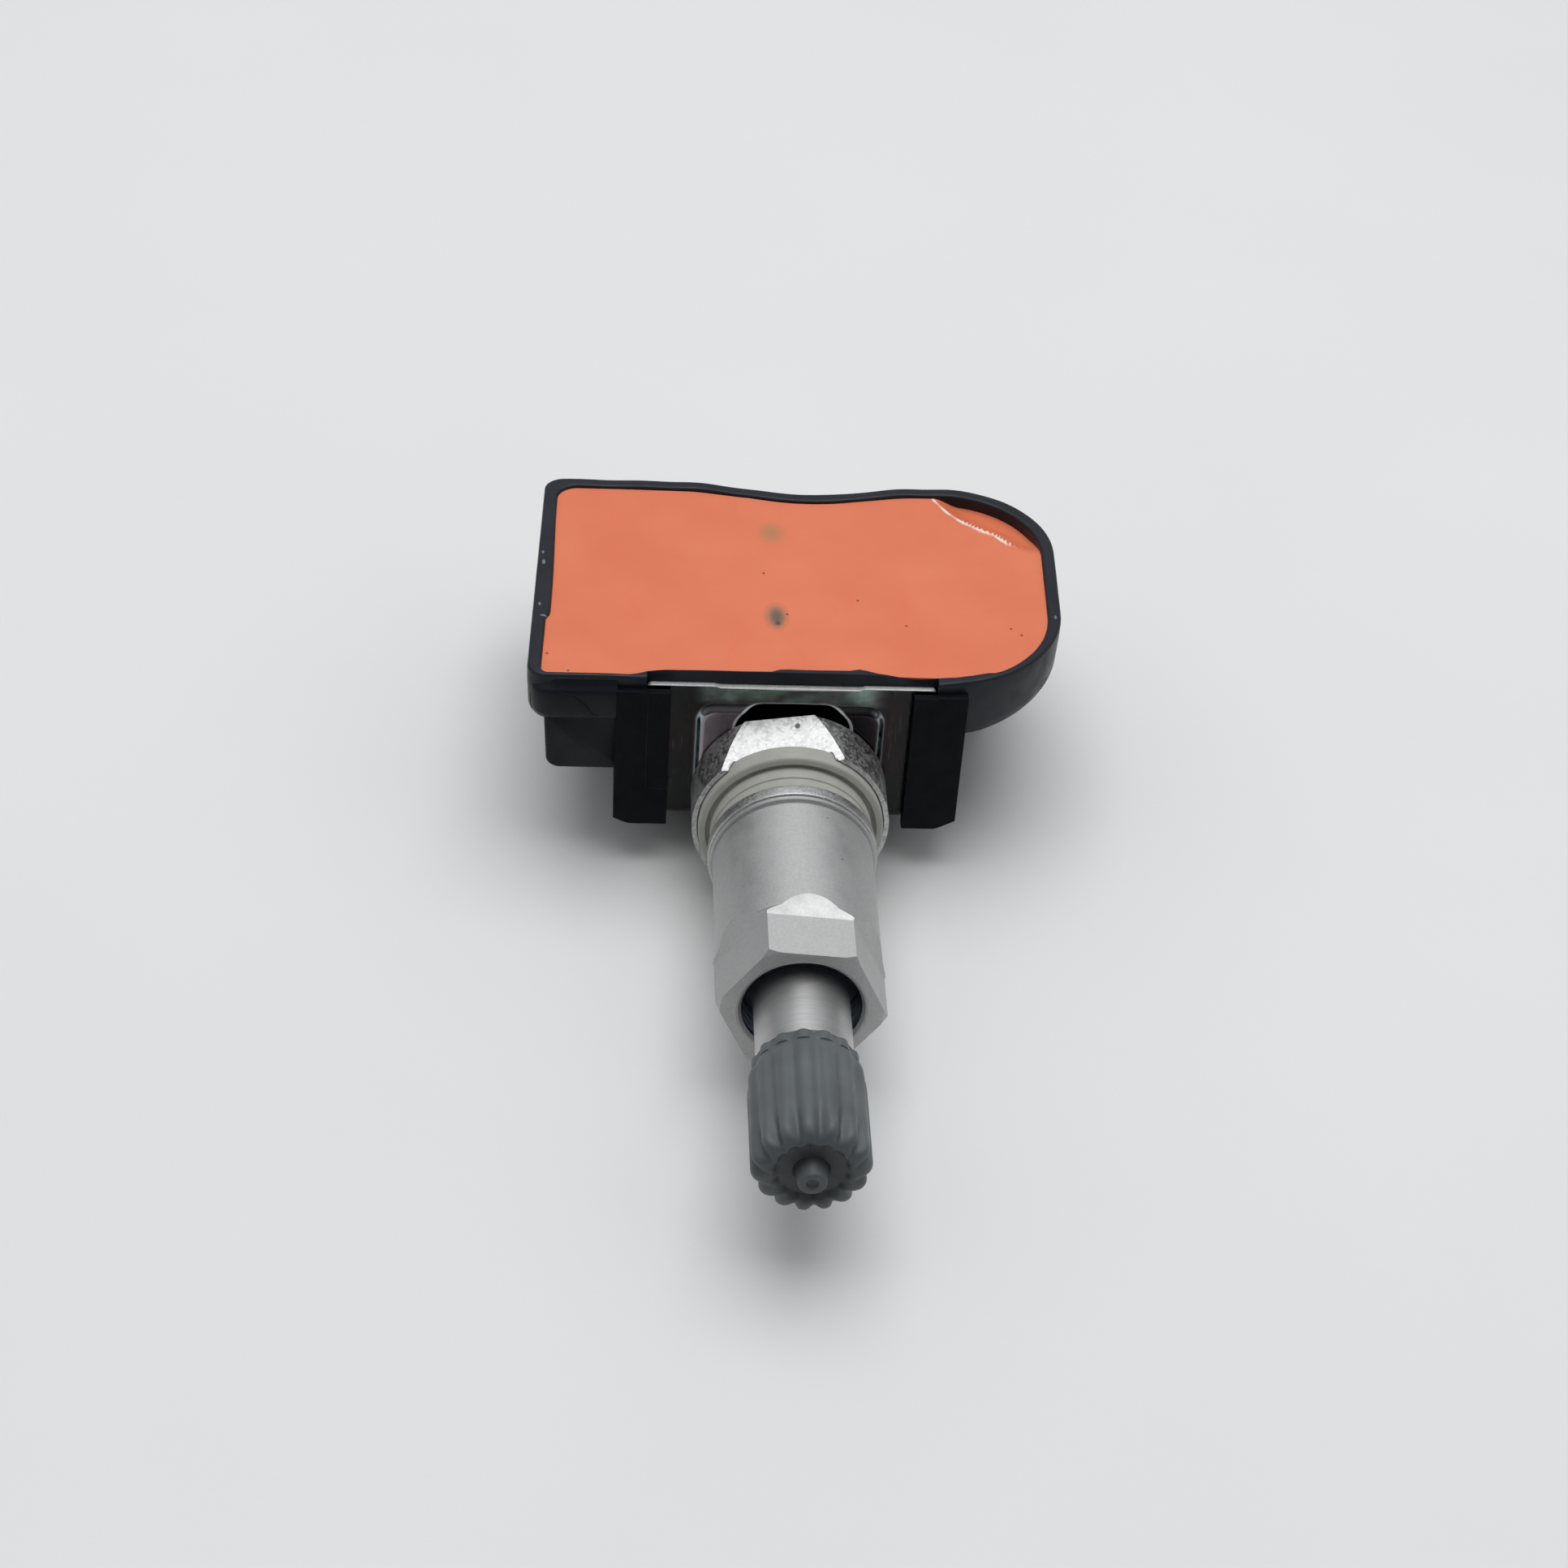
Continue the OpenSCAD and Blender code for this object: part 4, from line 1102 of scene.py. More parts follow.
    def bracket_room(self) -> list[Thing]:
        """Cutters for the groove, the brow, the mouth between the ears, the rolled foot and the pocket."""
        screw = Box.of("rear_screw")
        wide = self.bracket.size[0] / 2 + self.fit
        top = -self.ear_drop
        deep, before = self.belly - self.past, -self.lip - self.past
        bend = float(self.bracket.high[1] - self.origin[1]) + 1.0
        bend_top = self.level(self.bracket.low) + 1.6
        pocket = Box.of("rear_washer").radius + 0.6
        pocket_back = float(screw.high[1] - self.origin[1])
        mouth = self.mouth_w / 2
        rooms = {
            "groove": ([self.middle - wide, -0.03, deep], [self.middle + wide, self.sheet + 0.17, top]),
            "brow": ([self.middle - wide, before, top - 0.1], [self.middle + wide, 0.45, 2]),
            "mouth": ([self.middle - mouth, before, deep], [self.middle + mouth, self.fit, top + 0.1]),
            "bend": ([self.middle - wide, 0, deep], [self.middle + wide, bend, bend_top]),
            "pocket": ([-pocket, 0, deep], [pocket, pocket_back + 0.4, self.board - self.resin_fit - 0.5]),
        }
        return [brick(f"cut_{name}", Box(*(self.placed(np.array(corner, float)) for corner in corners)))
                for name, corners in rooms.items()]

    def inner_wells(self) -> list[Thing]:
        """Cutters for the wells of the cell, the tab at its side and the pressure chip, and the port."""
        cell, chip, seal = Box.of("coin_cell"), Box.of("pressure_chip"), Box.of("port_seal")
        tab, well = Box.of("battery_tab_plus").grown(self.fit), chip.grown(self.fit)
        above = self.placed(np.array([0, 0, self.board + 0.5]))[2]
        return [
            drum("cut_cell", cell.middle, cell.radius + self.fit, float(cell.low[2]), above),
            brick("cut_tab", Box(tab.low, np.array([*tab.high[:2], above]))),
            brick("cut_chip", Box(np.array([*well.low[:2], seal.low[2]]), np.array([*well.high[:2], above]))),
            drum("cut_port", chip.middle, 0.8, float(self.box.low[2]) - self.past, above, 48),
        ]

    def front(self) -> Thing:
        """The block that carries the ears: its side profile carried across the ears' width.

        Returns:
            The block with the bracket's room and the ears' corners cut off.
        """
        top, bottom = -self.ear_drop, -self.ear_drop - self.ear_h
        side = rounded([(-self.lip, top, 0.06), (-self.lip, bottom, 0.35), (3, bottom, 0.5),
                        (self.block_back, self.belly, 0.3), (self.block_back, top, 0.3)], 6, 10)
        across = self.middle + self.ears_w / 2 * np.array([-1, 1])
        sections = [self.placed(np.column_stack([np.full(len(side), x), side])) for x in across]
        thing = loft("housing_ears", sections)
        carve(thing, self.bracket_room() + self.chamfers())
        soften(thing, 0.13, 2, 35)
        return thing

    def chamfers(self) -> list[Thing]:
        """Cutters for the slanted lower outer corners of the two ears.

        Each is the corner's slanting line, carried on past its ends by the same slope.
        """
        found = []
        bottom = -self.ear_drop - self.ear_h
        for name, way, width, height in (("left", -1, 1.6, 0.8), ("right", 1, 2.0, 1.1)):
            edge = self.middle + way * self.ears_w / 2
            corner = np.array([[edge + way, bottom - 1], [edge - way * width * (1 + 1 / height), bottom - 1],
                               [edge - way * width, bottom], [edge, bottom + height],
                               [edge + way, bottom + height * (1 + 1 / width)]])
            cuts = [self.placed(np.column_stack([corner[:, 0], np.full(5, y), corner[:, 1]]))
                    for y in (-self.lip - self.past, 5.2)]
            found.append(loft(f"cut_chamfer_{name}", cuts))
        return found

    def ledge(self) -> Thing:
        """The ledge that runs from the left ear to the corner, a loft with a rolled lower edge."""
        x1 = self.middle - self.ears_w / 2 + 0.12
        band, top = -self.band_h, -self.ear_drop
        levels = [(band - 0.02, 0.95), (band + 0.08, 0.62), (band + 0.3, 0.32), (band + 0.62, 0.1),
                  (band + 1.0, 0.0), (top - 0.45, 0.0), (top - 0.2, 0.05), (top, 0.2),
                  (-0.9, 0.5), (-0.55, 0.62)]
        sections = []
        for height, inset in levels:
            x0, y0 = self.left + 0.05 + inset, -self.lip + inset
            plan = rounded([(x0, y0, self.corner_r), (x1, y0, 0.1), (x1, self.ledge_back, 0.1),
                            (self.left + 0.3 + inset, self.ledge_back, 0.1)], 14, 20)
            sections.append(self.placed(lifted(plan, height)))
        return loft("housing_ledge", sections, crease=40)

    def foot(self) -> Thing:
        """The foot under the ledge: a rounded plate carried from front to back."""
        x0 = self.middle - self.ears_w / 2 - self.foot_w
        x1 = x0 + self.foot_w + 0.5
        z0 = -self.band_h - self.foot_h
        z1 = z0 + self.foot_h + 0.5
        sections = []
        for y, inset in ((-0.5, 0.25), (-0.42, 0.1), (-0.25, 0.0), (6.8, 0.0)):
            x, z = rounded([(x0 + inset, z0 + inset, 1.1), (x1, z0 + inset, 0.2), (x1, z1, 0.2),
                            (x0 - 0.25 + inset, z1, 0.2)], 12, 8).T
            sections.append(self.placed(np.column_stack([x, np.full(len(x), y), z])))
        return loft("housing_foot", sections, crease=40)

    def flash(self) -> list[Thing]:
        """Thin raised seams that the mould left on the ledge and down the left ear.

        Each is a flattened circle carried along its line, and thins to nothing at both ends: its
        radius is the root of one less the sixth power of the share from the middle.
        """
        paths = {
            "ledge": ([(-19.9, -1.22, -1.35), (-18.6, -1.26, -1.75), (-17.7, -1.24, -2.5),
                       (-17.1, -1.2, -3.5), (-16.4, -1.16, -3.75)], 0.07),
            "ear": ([(-12.35, -1.2, -1.4), (-12.35, -1.22, -6.0), (-12.33, -1.2, -11.4)], 0.035),
            "step": ([(-12.4, -1.21, -11.35), (-11.4, -1.23, -11.5), (-10.3, -1.21, -11.5)], 0.05),
        }
        found = []
        spin = full_turn(8)
        circle = np.stack([np.cos(spin), np.sin(spin) * 0.7, np.sin(spin)], axis=1)
        for name, (stops, radius) in paths.items():
            line = self.placed(along(np.array(stops), 40))
            taper = radius * np.sqrt(np.clip(1 - np.linspace(-1, 1, 40) ** 6, 0.02, 1))
            tube = line[:, None, :] + taper[:, None, None] * circle[None]
            found.append(loft(f"mould_seam_{name}", list(tube), crease=60))
        return found

    def skin(self, x: Array, y: Array, gap: Array) -> Array:
        """Height of the resin at each place.

        It is the fill level with a slight waviness, a rise near the wall that falls by the
        exponential of the gap, and a hollow that deepens beyond the wrinkle's line.

        Args:
            x: The places across.
            y: The places back.
            gap: How far each lies from the wall.

        Returns:
            The heights.
        """
        s, beyond = self.by_wrinkle(x, y)
        hollow = smooth_step(beyond, 0.05, 2.3) * (1 - smooth_step(s, 9.0, 13.5)) * smooth_step(s, -3.0, 0.0)
        fill = self.level(self.potting.high)
        height = fill - 0.1 + 0.1 * np.exp(-gap / 0.35)
        height += 0.035 * np.sin(x * 0.31 + 1) * np.sin(y * 0.27)
        return np.minimum(height, fill) - 0.85 * hollow

    def by_wrinkle(self, x: Array, y: Array) -> tuple[Array, Array]:
        """A place's coordinates along and across the wrinkle: two dot products, less the bow."""
        (x0, y0), (tx, ty) = self.wrinkle
        s = (x - x0) * tx + (y - y0) * ty
        return s, (y - y0) * tx - (x - x0) * ty - self.bow(s)

    def bow(self, s: Array) -> Array:
        """How far the wrinkle's line bows from the wall: half a sine wave over most of its length."""
        return -self.wrinkle_bow * np.sin(math.pi * np.clip(s, 0, self.wrinkle_l) / self.wrinkle_l)

    def wrinkled(self) -> Thing:
        """The wrinkle where the resin sank: a narrow ridge with short ripples on its lower half.

        The strip's height is the skin's plus its share of the ridge and the ripples, and its
        edges lie just under the skin. What stands up is painted pale: a painted highlight where the glossy
        crest and ripples would catch the lamp.
        """
        (x0, y0), (tx, ty) = self.wrinkle
        s, d = np.meshgrid(np.linspace(*self.strip_s, 800), np.linspace(*self.strip_d, 32), indexing="ij")
        off = d + self.bow(s)
        x, y = x0 + s * tx - off * ty, y0 + s * ty + off * tx
        ridge, ripple, edge = self.creased(s, d)
        top = self.skin(x, y, np.full_like(x, 9.0)) + 0.12 * ridge + 0.1 * ripple - 0.02 + 0.025 * edge
        sheet = np.stack([x, y, top], axis=-1)
        under = sheet[:, ::-1] - [0, 0, 0.25]
        rings = np.concatenate([sheet, under], axis=1)
        thing = loft("potting_wrinkle", [self.placed(r) for r in rings], crease=80)
        spots = places(thing) - self.origin
        s, d = self.by_wrinkle(spots[:, 0], spots[:, 1])
        ridge, ripple, _ = self.creased(s, d)
        # Marks the painted highlight: the crest and the ripples, where the glossy wrinkle would catch the
        # lamp.
        keep(thing, "painted_highlight", np.clip((0.75 + 0.3 * np.sin(s * 2.9 + 1)) * ridge + 1.3 * ripple, 0, 1))
        return thing

    def creased(self, s: Array, d: Array) -> tuple[Array, Array, Array]:
        """The wrinkle's relief.

        The ridge is a bell of the distance from its line. A ripple is a wave along the line,
        squared, times a bell on the ridge's far side. Both fade at the strip's ends and edges.

        Args:
            s: How far each place lies along the line.
            d: How far it lies past the line.

        Returns:
            The shares of the ridge, of the ripples and of the strip's edge.
        """
        start, end = self.strip_s
        near, far = self.strip_d
        fade = smooth_step(s, start, 0.5) * (1 - smooth_step(s, 8.8, end))
        edge = np.minimum(smooth_step(d, near, -0.2), 1 - smooth_step(d, 0.6, far))
        wave = (0.5 + 0.5 * np.sin(2 * math.pi * (s + 0.6 * d) / 0.44 + 1.6 * np.sin(s * 2.3))) ** 2
        ripple = wave * smooth_step(s, 3.6, 5.4) * bell(d, 0.3, 0.3)
        return bell(d, 0, 0.17) * fade * edge, ripple * fade * edge, edge

    def resin(self) -> Thing:
        """The potting: a skin on the walls' outline, above sides that step back under the brow.

        A point lies at a share of the way from the middle line to the wall, and its height is
        the skin's. The posts' and tall pieces' rooms are cut out from below.
        """
        inset = self.wall - self.resin_fit
        wall = self.inner_outline(inset)
        spine = np.column_stack([np.clip(wall[:, 0], -13.0, 13.5), np.full(len(wall), 13.5)])
        share = 1 - (1 - np.linspace(0, 1, 56)) ** 1.7
        plan = spine[None] + share[:, None, None] * (wall - spine)[None]
        gap = np.linalg.norm(wall[None] - plan, axis=-1)
        x, y = plan[..., 0], plan[..., 1]
        bubbles = (0.06 * bell(x, -2.97, 0.5) * bell(y, 27.5, 0.25)
                   + 0.05 * bell(x, -4.4, 0.35) * bell(y, 28.0, 0.2))
        height = self.skin(x, y, gap) + bubbles
        grid = np.concatenate([plan, height[..., None]], axis=-1)
        deep = self.deep_outline(inset)
        shelf = self.step + 0.03
        side = [lifted(wall, shelf), lifted(deep, shelf), lifted(deep, self.level(self.potting.low))]
        grid = np.concatenate([grid, np.stack(side)])
        rows, cols = grid.shape[:2]
        quads = grid_quads(rows, cols, False, True)
        caps = end_caps(rows, cols)[1:]
        thing = put_mesh("potting_resin", self.placed(grid.reshape(-1, 3)), quads, caps, crease=50)
        minus, plus, crystal, coil = (
            Box.of(name) for name in ("battery_tab_minus", "battery_tab_plus", "crystal", "lf_coil_core"))
        rooms = [(minus, float(minus.low[1]) + 0.1, 0.55, 0.2), (plus, float(plus.middle[1]), 0.55, 0.2)]
        rooms += [(tall, float(tall.middle[1]), tall.radius + 0.05, float(tall.size[1]) / 2 + 0.05)
                  for tall in (crystal, coil)]
        under = float(self.potting.low[2]) - self.past
        carve(thing, [brick(f"cut_post_{i}", Box(
            np.array([box.middle[0] - wide, y_mid - back, under]),
            np.array([box.middle[0] + wide, y_mid + back, float(box.high[2]) + 0.02])))
            for i, (box, y_mid, wide, back) in enumerate(rooms)], crease=50)
        return thing

    def build(self) -> None:
        """Builds and dresses every piece of the moulding and its filling."""
        near_y, rim, top = float(self.origin[1]), float(self.box.high[2]), float(self.potting.high[2])
        scars = tuple(((x, y + near_y, rim), radii) for x, y, radii in (
            (-21.5, 15.9, (0.25, 0.6, 0.8)), (-21.6, 17.4, (0.18, 0.4, 0.8)), (-21.3, 7.9, (0.5, 0.22, 0.9)),
            (-21.7, 9.6, (0.2, 0.45, 0.8)), (23.0, 9.4, (0.2, 0.5, 0.8))))
        skin = MouldedPlastic("Black moulded plastic", linear(18, 21, 30), linear(30, 32, 42), 0.42,
                              gloss=0.28, scars=scars)
        # Painted shade: the foot, ledge and seams, and darker still the ears, take darker copies of the same
        # black plastic, for faces turned away from the light.
        foot = MouldedPlastic("Black plastic with painted shade, foot", linear(11, 14, 22), linear(19, 22, 31), 0.46,
                              gloss=0.2)
        ears = MouldedPlastic("Black plastic with painted shade, ears", linear(5, 7, 13), linear(9, 12, 19), 0.5,
                              gloss=0.1)
        for finish, things in ((skin, [self.tub()]), (foot, [self.ledge(), self.foot(), *self.flash()]),
                               (ears, [self.front()])):
            plastic = finish.material()
            for thing in things:
                dress(thing, [plastic], "root", "black_plastic", "housing")
        minus, plus = Box.of("battery_tab_minus"), Box.of("battery_tab_plus")
        x, y = float(minus.middle[0]), float(minus.low[1]) + 0.1
        posts = (((x, y, top), (1.3, 2.3, 9.0), linear(136, 106, 84)),
                 ((x + 0.05, y - 0.1, top), (0.75, 1.7, 9.0), linear(104, 88, 78)),
                 ((x + 0.1, y - 1.0, top), (0.32, 0.42, 9.0), linear(78, 56, 52)),
                 ((float(plus.middle[0]), float(plus.middle[1]), top), (1.5, 2.0, 9.0), linear(178, 122, 84)))
        specks = tuple((x, y + near_y, top) for x, y in (
            (19.03, 8.06), (19.86, 7.14), (9.93, 8.18), (5.92, 11.75), (-0.35, 9.44), (-2.18, 15.59),
            (-20.92, 2.98), (-19.1, 0.63)))
        resin = PottingResin("Orange potting resin", posts, specks).material()
        dress(self.resin(), [resin], "root", "potting", "potting")
        gloss = PottingResin("Glossy resin of the wrinkle", roughness=0.06).material()
        dress(self.wrinkled(), [gloss], "root", "potting", "potting")


@dataclass
class Bracket:
    """The stamped bracket: a plated sheet with a pressed pad round an open slot and a rolled foot."""

    sheet: float = 0.8
    rise: float = 0.5
    slope: float = 0.85
    pad_w: float = 16.4
    pad_drop: float = 1.7
    slot_r: float = 2.5
    slot_w: float = 9.8
    bend_r: float = 0.6
    foot_l: float = 1.2
    edge: float = 0.16
    notch: float = 0.16
    corner: float = 0.25
    pad_corner: float = 1.9
    leg_share: float = 0.36
    box: Box = field(default_factory=lambda: Box.of("bracket"))

    def __post_init__(self) -> None:
        """Works out the bracket's levels from its box."""
        self.face_y = float(self.box.low[1]) + self.rise
        self.x = float(self.box.middle[0])
        self.width = float(self.box.size[0])
        self.top = float(self.box.high[2])
        self.bottom = float(self.box.low[2])
        self.bend_z = self.bottom + self.sheet + self.bend_r
        self.pad_top = self.top - self.pad_drop
        self.pad_low = self.bend_z + 0.2
        self.slot_top = self.pad_top - 0.1

    def edges(self, count: int) -> tuple[Array, Array]:
        """The slot's edge and the sheet's outer edge, as matching paths from one leg's end to the other.

        Both run up the left leg, round the top and down the right leg, with the last stretch of
        each leg unrolled straight down.

        Args:
            count: The number of points on each.

        Returns:
            The inner and the outer path.
        """
        bend = (math.pi / 2) * (self.bend_r + self.sheet / 2) + self.foot_l
        foot = self.bend_z - bend
        half, wide = self.slot_w / 2, self.width / 2
        turn = np.linspace(math.pi, math.pi / 2, 24)
        arc = self.slot_r * np.stack([np.cos(turn), np.sin(turn)], axis=1)
        left = np.concatenate([[[-half, foot]], arc + [-half + self.slot_r, self.slot_top - self.slot_r]])
        inner = np.concatenate([left, left[::-1] * [-1, 1]])
        notch_l, notch_r = self.x - 6.4, self.x + 6.0
        low, side = self.top - self.notch, self.top - self.corner
        outer_parts = [
            [[self.x - wide, foot], [self.x - wide, side], [self.x - wide + self.corner, self.top]],
            [[notch_l - 0.1, self.top], [notch_l + 0.1, low]],
            [[notch_r - 0.1, low], [notch_r + 0.1, self.top]],
            [[self.x + wide - self.corner, self.top], [self.x + wide, side], [self.x + wide, foot]]]
        outer = np.concatenate([np.array(p, float) for p in outer_parts])
        legs = int(count * self.leg_share)
        across = count - 2 * legs

        def paired(path: Array, first: int, last: int) -> Array:
            """Divides a path's two legs and its top, which runs from its first to its last point."""
            parts = [along(path[: first + 1], legs), along(path[first:last + 1], across + 2)[1:-1],
                     along(path[last:], legs)]
            return np.concatenate(parts)

        return paired(inner, 8, len(inner) - 9), paired(outer, 2, len(outer) - 3)

    def pad(self, x: Array, z: Array) -> Array:
        """How far the pad is pressed forward: its rise, times a soft step of the depth inside its outline.

        Args:
            x: The places across.
            z: The places upwards.

        Returns:
            The rise at each.
        """
        half_w = self.pad_w / 2 - self.pad_corner
        half_h = (self.pad_top - self.pad_low) / 2 - self.pad_corner
        dx = np.abs(x - self.x) - half_w
        dz = np.abs(z - (self.pad_top + self.pad_low) / 2) - half_h
        return self.rise * smooth_step(-round_gap(dx, dz, self.pad_corner), 0.05, self.slope)

    def rolled(self, x: Array, depth: Array, z: Array) -> Array:
        """Rolls the sheet's lower end back: below the bend's start a point's drop becomes a turn.

        The neutral line keeps its length: the turn is the drop over its radius, up to a right
        angle, and what is left of the drop runs straight back.

        Args:
            x: The places across.
            depth: How far each lies behind the sheet's front face.
            z: The places upwards, on the unrolled sheet.

        Returns:
            The points, one more axis of 3.
        """
        radius = self.bend_r + self.sheet / 2
        drop = np.maximum(self.bend_z - z, 0)
        turn = np.minimum(drop / radius, math.pi / 2)
        tail = drop - turn * radius
        arm = self.bend_r + self.sheet - depth
        y = self.face_y + self.sheet + self.bend_r - arm * np.cos(turn) + tail
        height = np.where(drop > 0, self.bend_z - arm * np.sin(turn), z)
        return np.stack([x, y, height], axis=-1)

    def plate(self) -> Thing:
        """The sheet: its front, rolled edges and back in one closed section carried along the edges.

        Across the sheet the share runs from the slot's edge to the outer edge on the front and
        returns on the back, with a quarter circle at each of the four edges.

        Returns:
            The plate, its cut edges in the second material slot.
        """
        inner, outer = self.edges(330)
        span = np.linalg.norm(outer - inner, axis=1)
        step = self.edge / span[:, None]
        turn = np.linspace(0, math.pi / 2, 5)
        rise, run = 1 - np.cos(turn), 1 - np.sin(turn)
        flat = np.linspace(0, 1, 60)[1:-1]
        level = np.zeros_like(flat)
        blocks = [
            (step * rise, self.edge * run),
            (step + (1 - 2 * step) * flat, level),
            (1 - step * run, self.edge * rise),
            (1 - step * rise, self.sheet - self.edge * run),
            (1 - step - (1 - 2 * step) * flat, level + self.sheet),
            (step * run, self.sheet - self.edge * rise)]
        share = np.concatenate([across for across, _ in blocks], axis=1)
        depths = np.concatenate([down for _, down in blocks])
        is_edge = np.repeat([1, 0, 1, 1, 0, 1], [len(down) for _, down in blocks])
        plan = inner[:, None] + share[..., None] * (outer - inner)[:, None]
        x, z = plan[..., 0], plan[..., 1]
        points = self.rolled(x, np.broadcast_to(depths, x.shape) - self.pad(x, z), z)
        rows, cols = points.shape[:2]
        quads = grid_quads(rows, cols, False, True)
        caps, marks = end_caps(rows, cols), np.tile(is_edge, rows - 1)
        thing = put_mesh("bracket_plate", points.reshape(-1, 3), quads, caps, marks, crease=50)
        self.painted_light(thing)
        return thing

    def painted_light(self, thing: Thing) -> None:
        """Marks each point for the plating's painted light: its painted reflection, how far above the pad it
        is, where a painted lighter band lies, and how much of the pad's lit left half it is.

        The painted reflection is four times t less t squared, t the point's share of the pad's rise, mostly
        on the pad's upright sides, or a bell of the distance from the slot's arch.

        Args:
            thing: The plate.
        """
        x, _, z = places(thing).T
        share = self.pad(x, z) / self.rise
        dz = z - (self.slot_top - self.slot_r)
        arch = round_gap(np.abs(x) - (self.slot_w / 2 - self.slot_r), dz, self.slot_r)
        rim = bell(arch, 0.1, 0.16) * smooth_step(dz, -1.0, 0.5)
        out = np.abs(x - self.x)
        aside = smooth_step(out, self.pad_w / 2 - 1.6, self.pad_w / 2 - 0.5)
        above = smooth_step(z, self.pad_top - 0.5, self.pad_top + 0.3)
        centre = 1 - smooth_step(out, 5.0, 8.5)
        left = 1 - smooth_step(x - self.x, -4.5, 0)
        # Painted reflection on the pad's sloped sides and round the slot's arch.
        keep(thing, "painted_light", np.maximum(4 * share * (1 - share) * (0.12 + 0.88 * aside), rim))
        # Painted reflection above the pad.
        keep(thing, "above", above * centre)
        # Painted light on the pad's left half.
        keep(thing, "raised", share * (1 - above) * left)

    def build(self) -> None:
        """Builds and dresses the bracket."""
        finishes = [PlatedSheet("Dark plated sheet").material(),
                    PlainMetal("Bright cut edge", grey(0.62), 0.5, 0.2, 0.3).material()]
        dress(self.plate(), finishes, "root", "bracket_steel", "bracket")


@dataclass
class SeatFlange:
    """The zinc cup behind the grommet, with two bevelled flats opposite each other, and the grommet."""

    lip: float = 0.42
    bevel: float = 15.0
    turn: float = 8.5
    flat_share: float = 0.935
    cup_depth: float = 0.9
    bore_r: float = 4.53
    fillet: float = 0.18
    steps: int = 480
    box: Box = field(default_factory=lambda: Box.of("seat_flange"))
    grommet: Box = field(default_factory=lambda: Box.of("grommet"))

    def cup(self) -> Thing:
        """The cup: at each angle its section is a ring profile cut by the flat's slanting line.

        The flat lies at a distance from the axis that falls evenly towards the front; divided
        by the cosine of the angle from its middle it gives the section's limit. Where that line
        passes below the cup's thin lip, the section ends on the cup's floor instead. Waves of
        the angle make the cut's upper edge ragged.
        """
        radius, rear, front = self.box.radius, self.box.rear, self.box.front
        floor = front - self.cup_depth
        inner = radius - self.lip
        middle = math.radians(90 + self.turn)
        angle = full_turn(self.steps) + middle
        cosine = np.maximum(np.abs(np.cos(angle - middle)), 1e-3)
        slope = math.tan(math.radians(self.bevel))
        ragged = 0.035 * np.sin(angle * 61 + 1.3) + 0.03 * np.sin(angle * 97) + 0.03 * np.sin(angle * 23 + 2)

        def limit(station: Array | float, extra: Array | float = 0.0) -> Array:
            """The radius that the flat leaves at a station."""
            return (radius * self.flat_share + extra - (station - rear) * slope) / cosine

        def crossing(at_radius: float, extra: Array | float = 0.0) -> Array:
            """The station at which the flat leaves a radius."""
            return rear + (radius * self.flat_share + extra - at_radius * cosine) / slope

        ones = np.ones(self.steps)
        rear_r = np.minimum(radius, limit(rear))
        s_side = np.clip(crossing(radius), rear, front)
        s_top = np.clip(crossing(inner, ragged), floor, front)
        s_near = np.clip(s_top - 0.2, s_side, front)
        keys = [(self.bore_r * ones, rear * ones), (rear_r - self.fillet, rear * ones),
                (rear_r, np.minimum(rear + self.fillet, s_side)),
                (np.minimum(radius, limit(s_side)), s_side), (np.minimum(radius, limit(s_near)), s_near),
                (np.minimum(radius, limit(s_top, ragged)), s_top),
                (np.minimum(inner, limit(s_top, ragged)), s_top),
                (np.minimum(inner, limit(floor, ragged)), floor * ones), (self.bore_r * ones, floor * ones)]
        sides = []
        for i, count in enumerate((4, 1, 10, 12, 2, 3, 4, 6, 6)):
            share = np.arange(count)[None] / count
            sides.append([here[:, None] + share * (there - here)[:, None]
                          for here, there in zip(keys[i], keys[(i + 1) % len(keys)])])
        radii, stations = (np.concatenate(parts, axis=1) for parts in zip(*sides))
        return turned("seat_flange_cup", radii, stations, angle, 22)

    def seal(self) -> Thing:
        """The grommet: a disc with a dished face, a cove, and a neck with a fine step."""
        disc, rear, front = self.grommet.radius, self.grommet.rear, self.grommet.front
        return ring("grommet_seal", [
            (5.65, rear, 0.02), (disc, rear, 0.1), (disc, -0.2, 0.3), (disc - 0.6, 0.0, 0.07),
            (7.12, -0.42, 0.3), (6.87, -0.36, 0.2), (6.87, 1.08, 0.05), (6.73, 1.14, 0.04),
            (6.73, front, 0.06), (4.86, front, 0.03),
            (4.86, rear + 1.05, 0.03), (5.65, rear + 1.05, 0.03)], 288)

    def build(self) -> None:
        """Builds and dresses the cup and the grommet."""
        chips = (((0.32, 4.73, 7.95), (0.3, 0.34, 0.7)), ((-0.95, 2.03, 7.95), (0.1, 0.2, 0.7)),
                 ((-0.5, 2.6, 7.95), (0.45, 0.08, 0.7)))
        zinc = CastZinc("Sparkling zinc", chips=chips).material()
        cup = self.cup()
        soften(cup, 0.05, 2, 24)
        dress(cup, [zinc], "root", "zinc_steel", "seat_flange")
        rubber = Rubber("Warm grey rubber", linear(158, 158, 152)).material()
        dress(self.seal(), [rubber], "root", "grommet_rubber", "grommet")


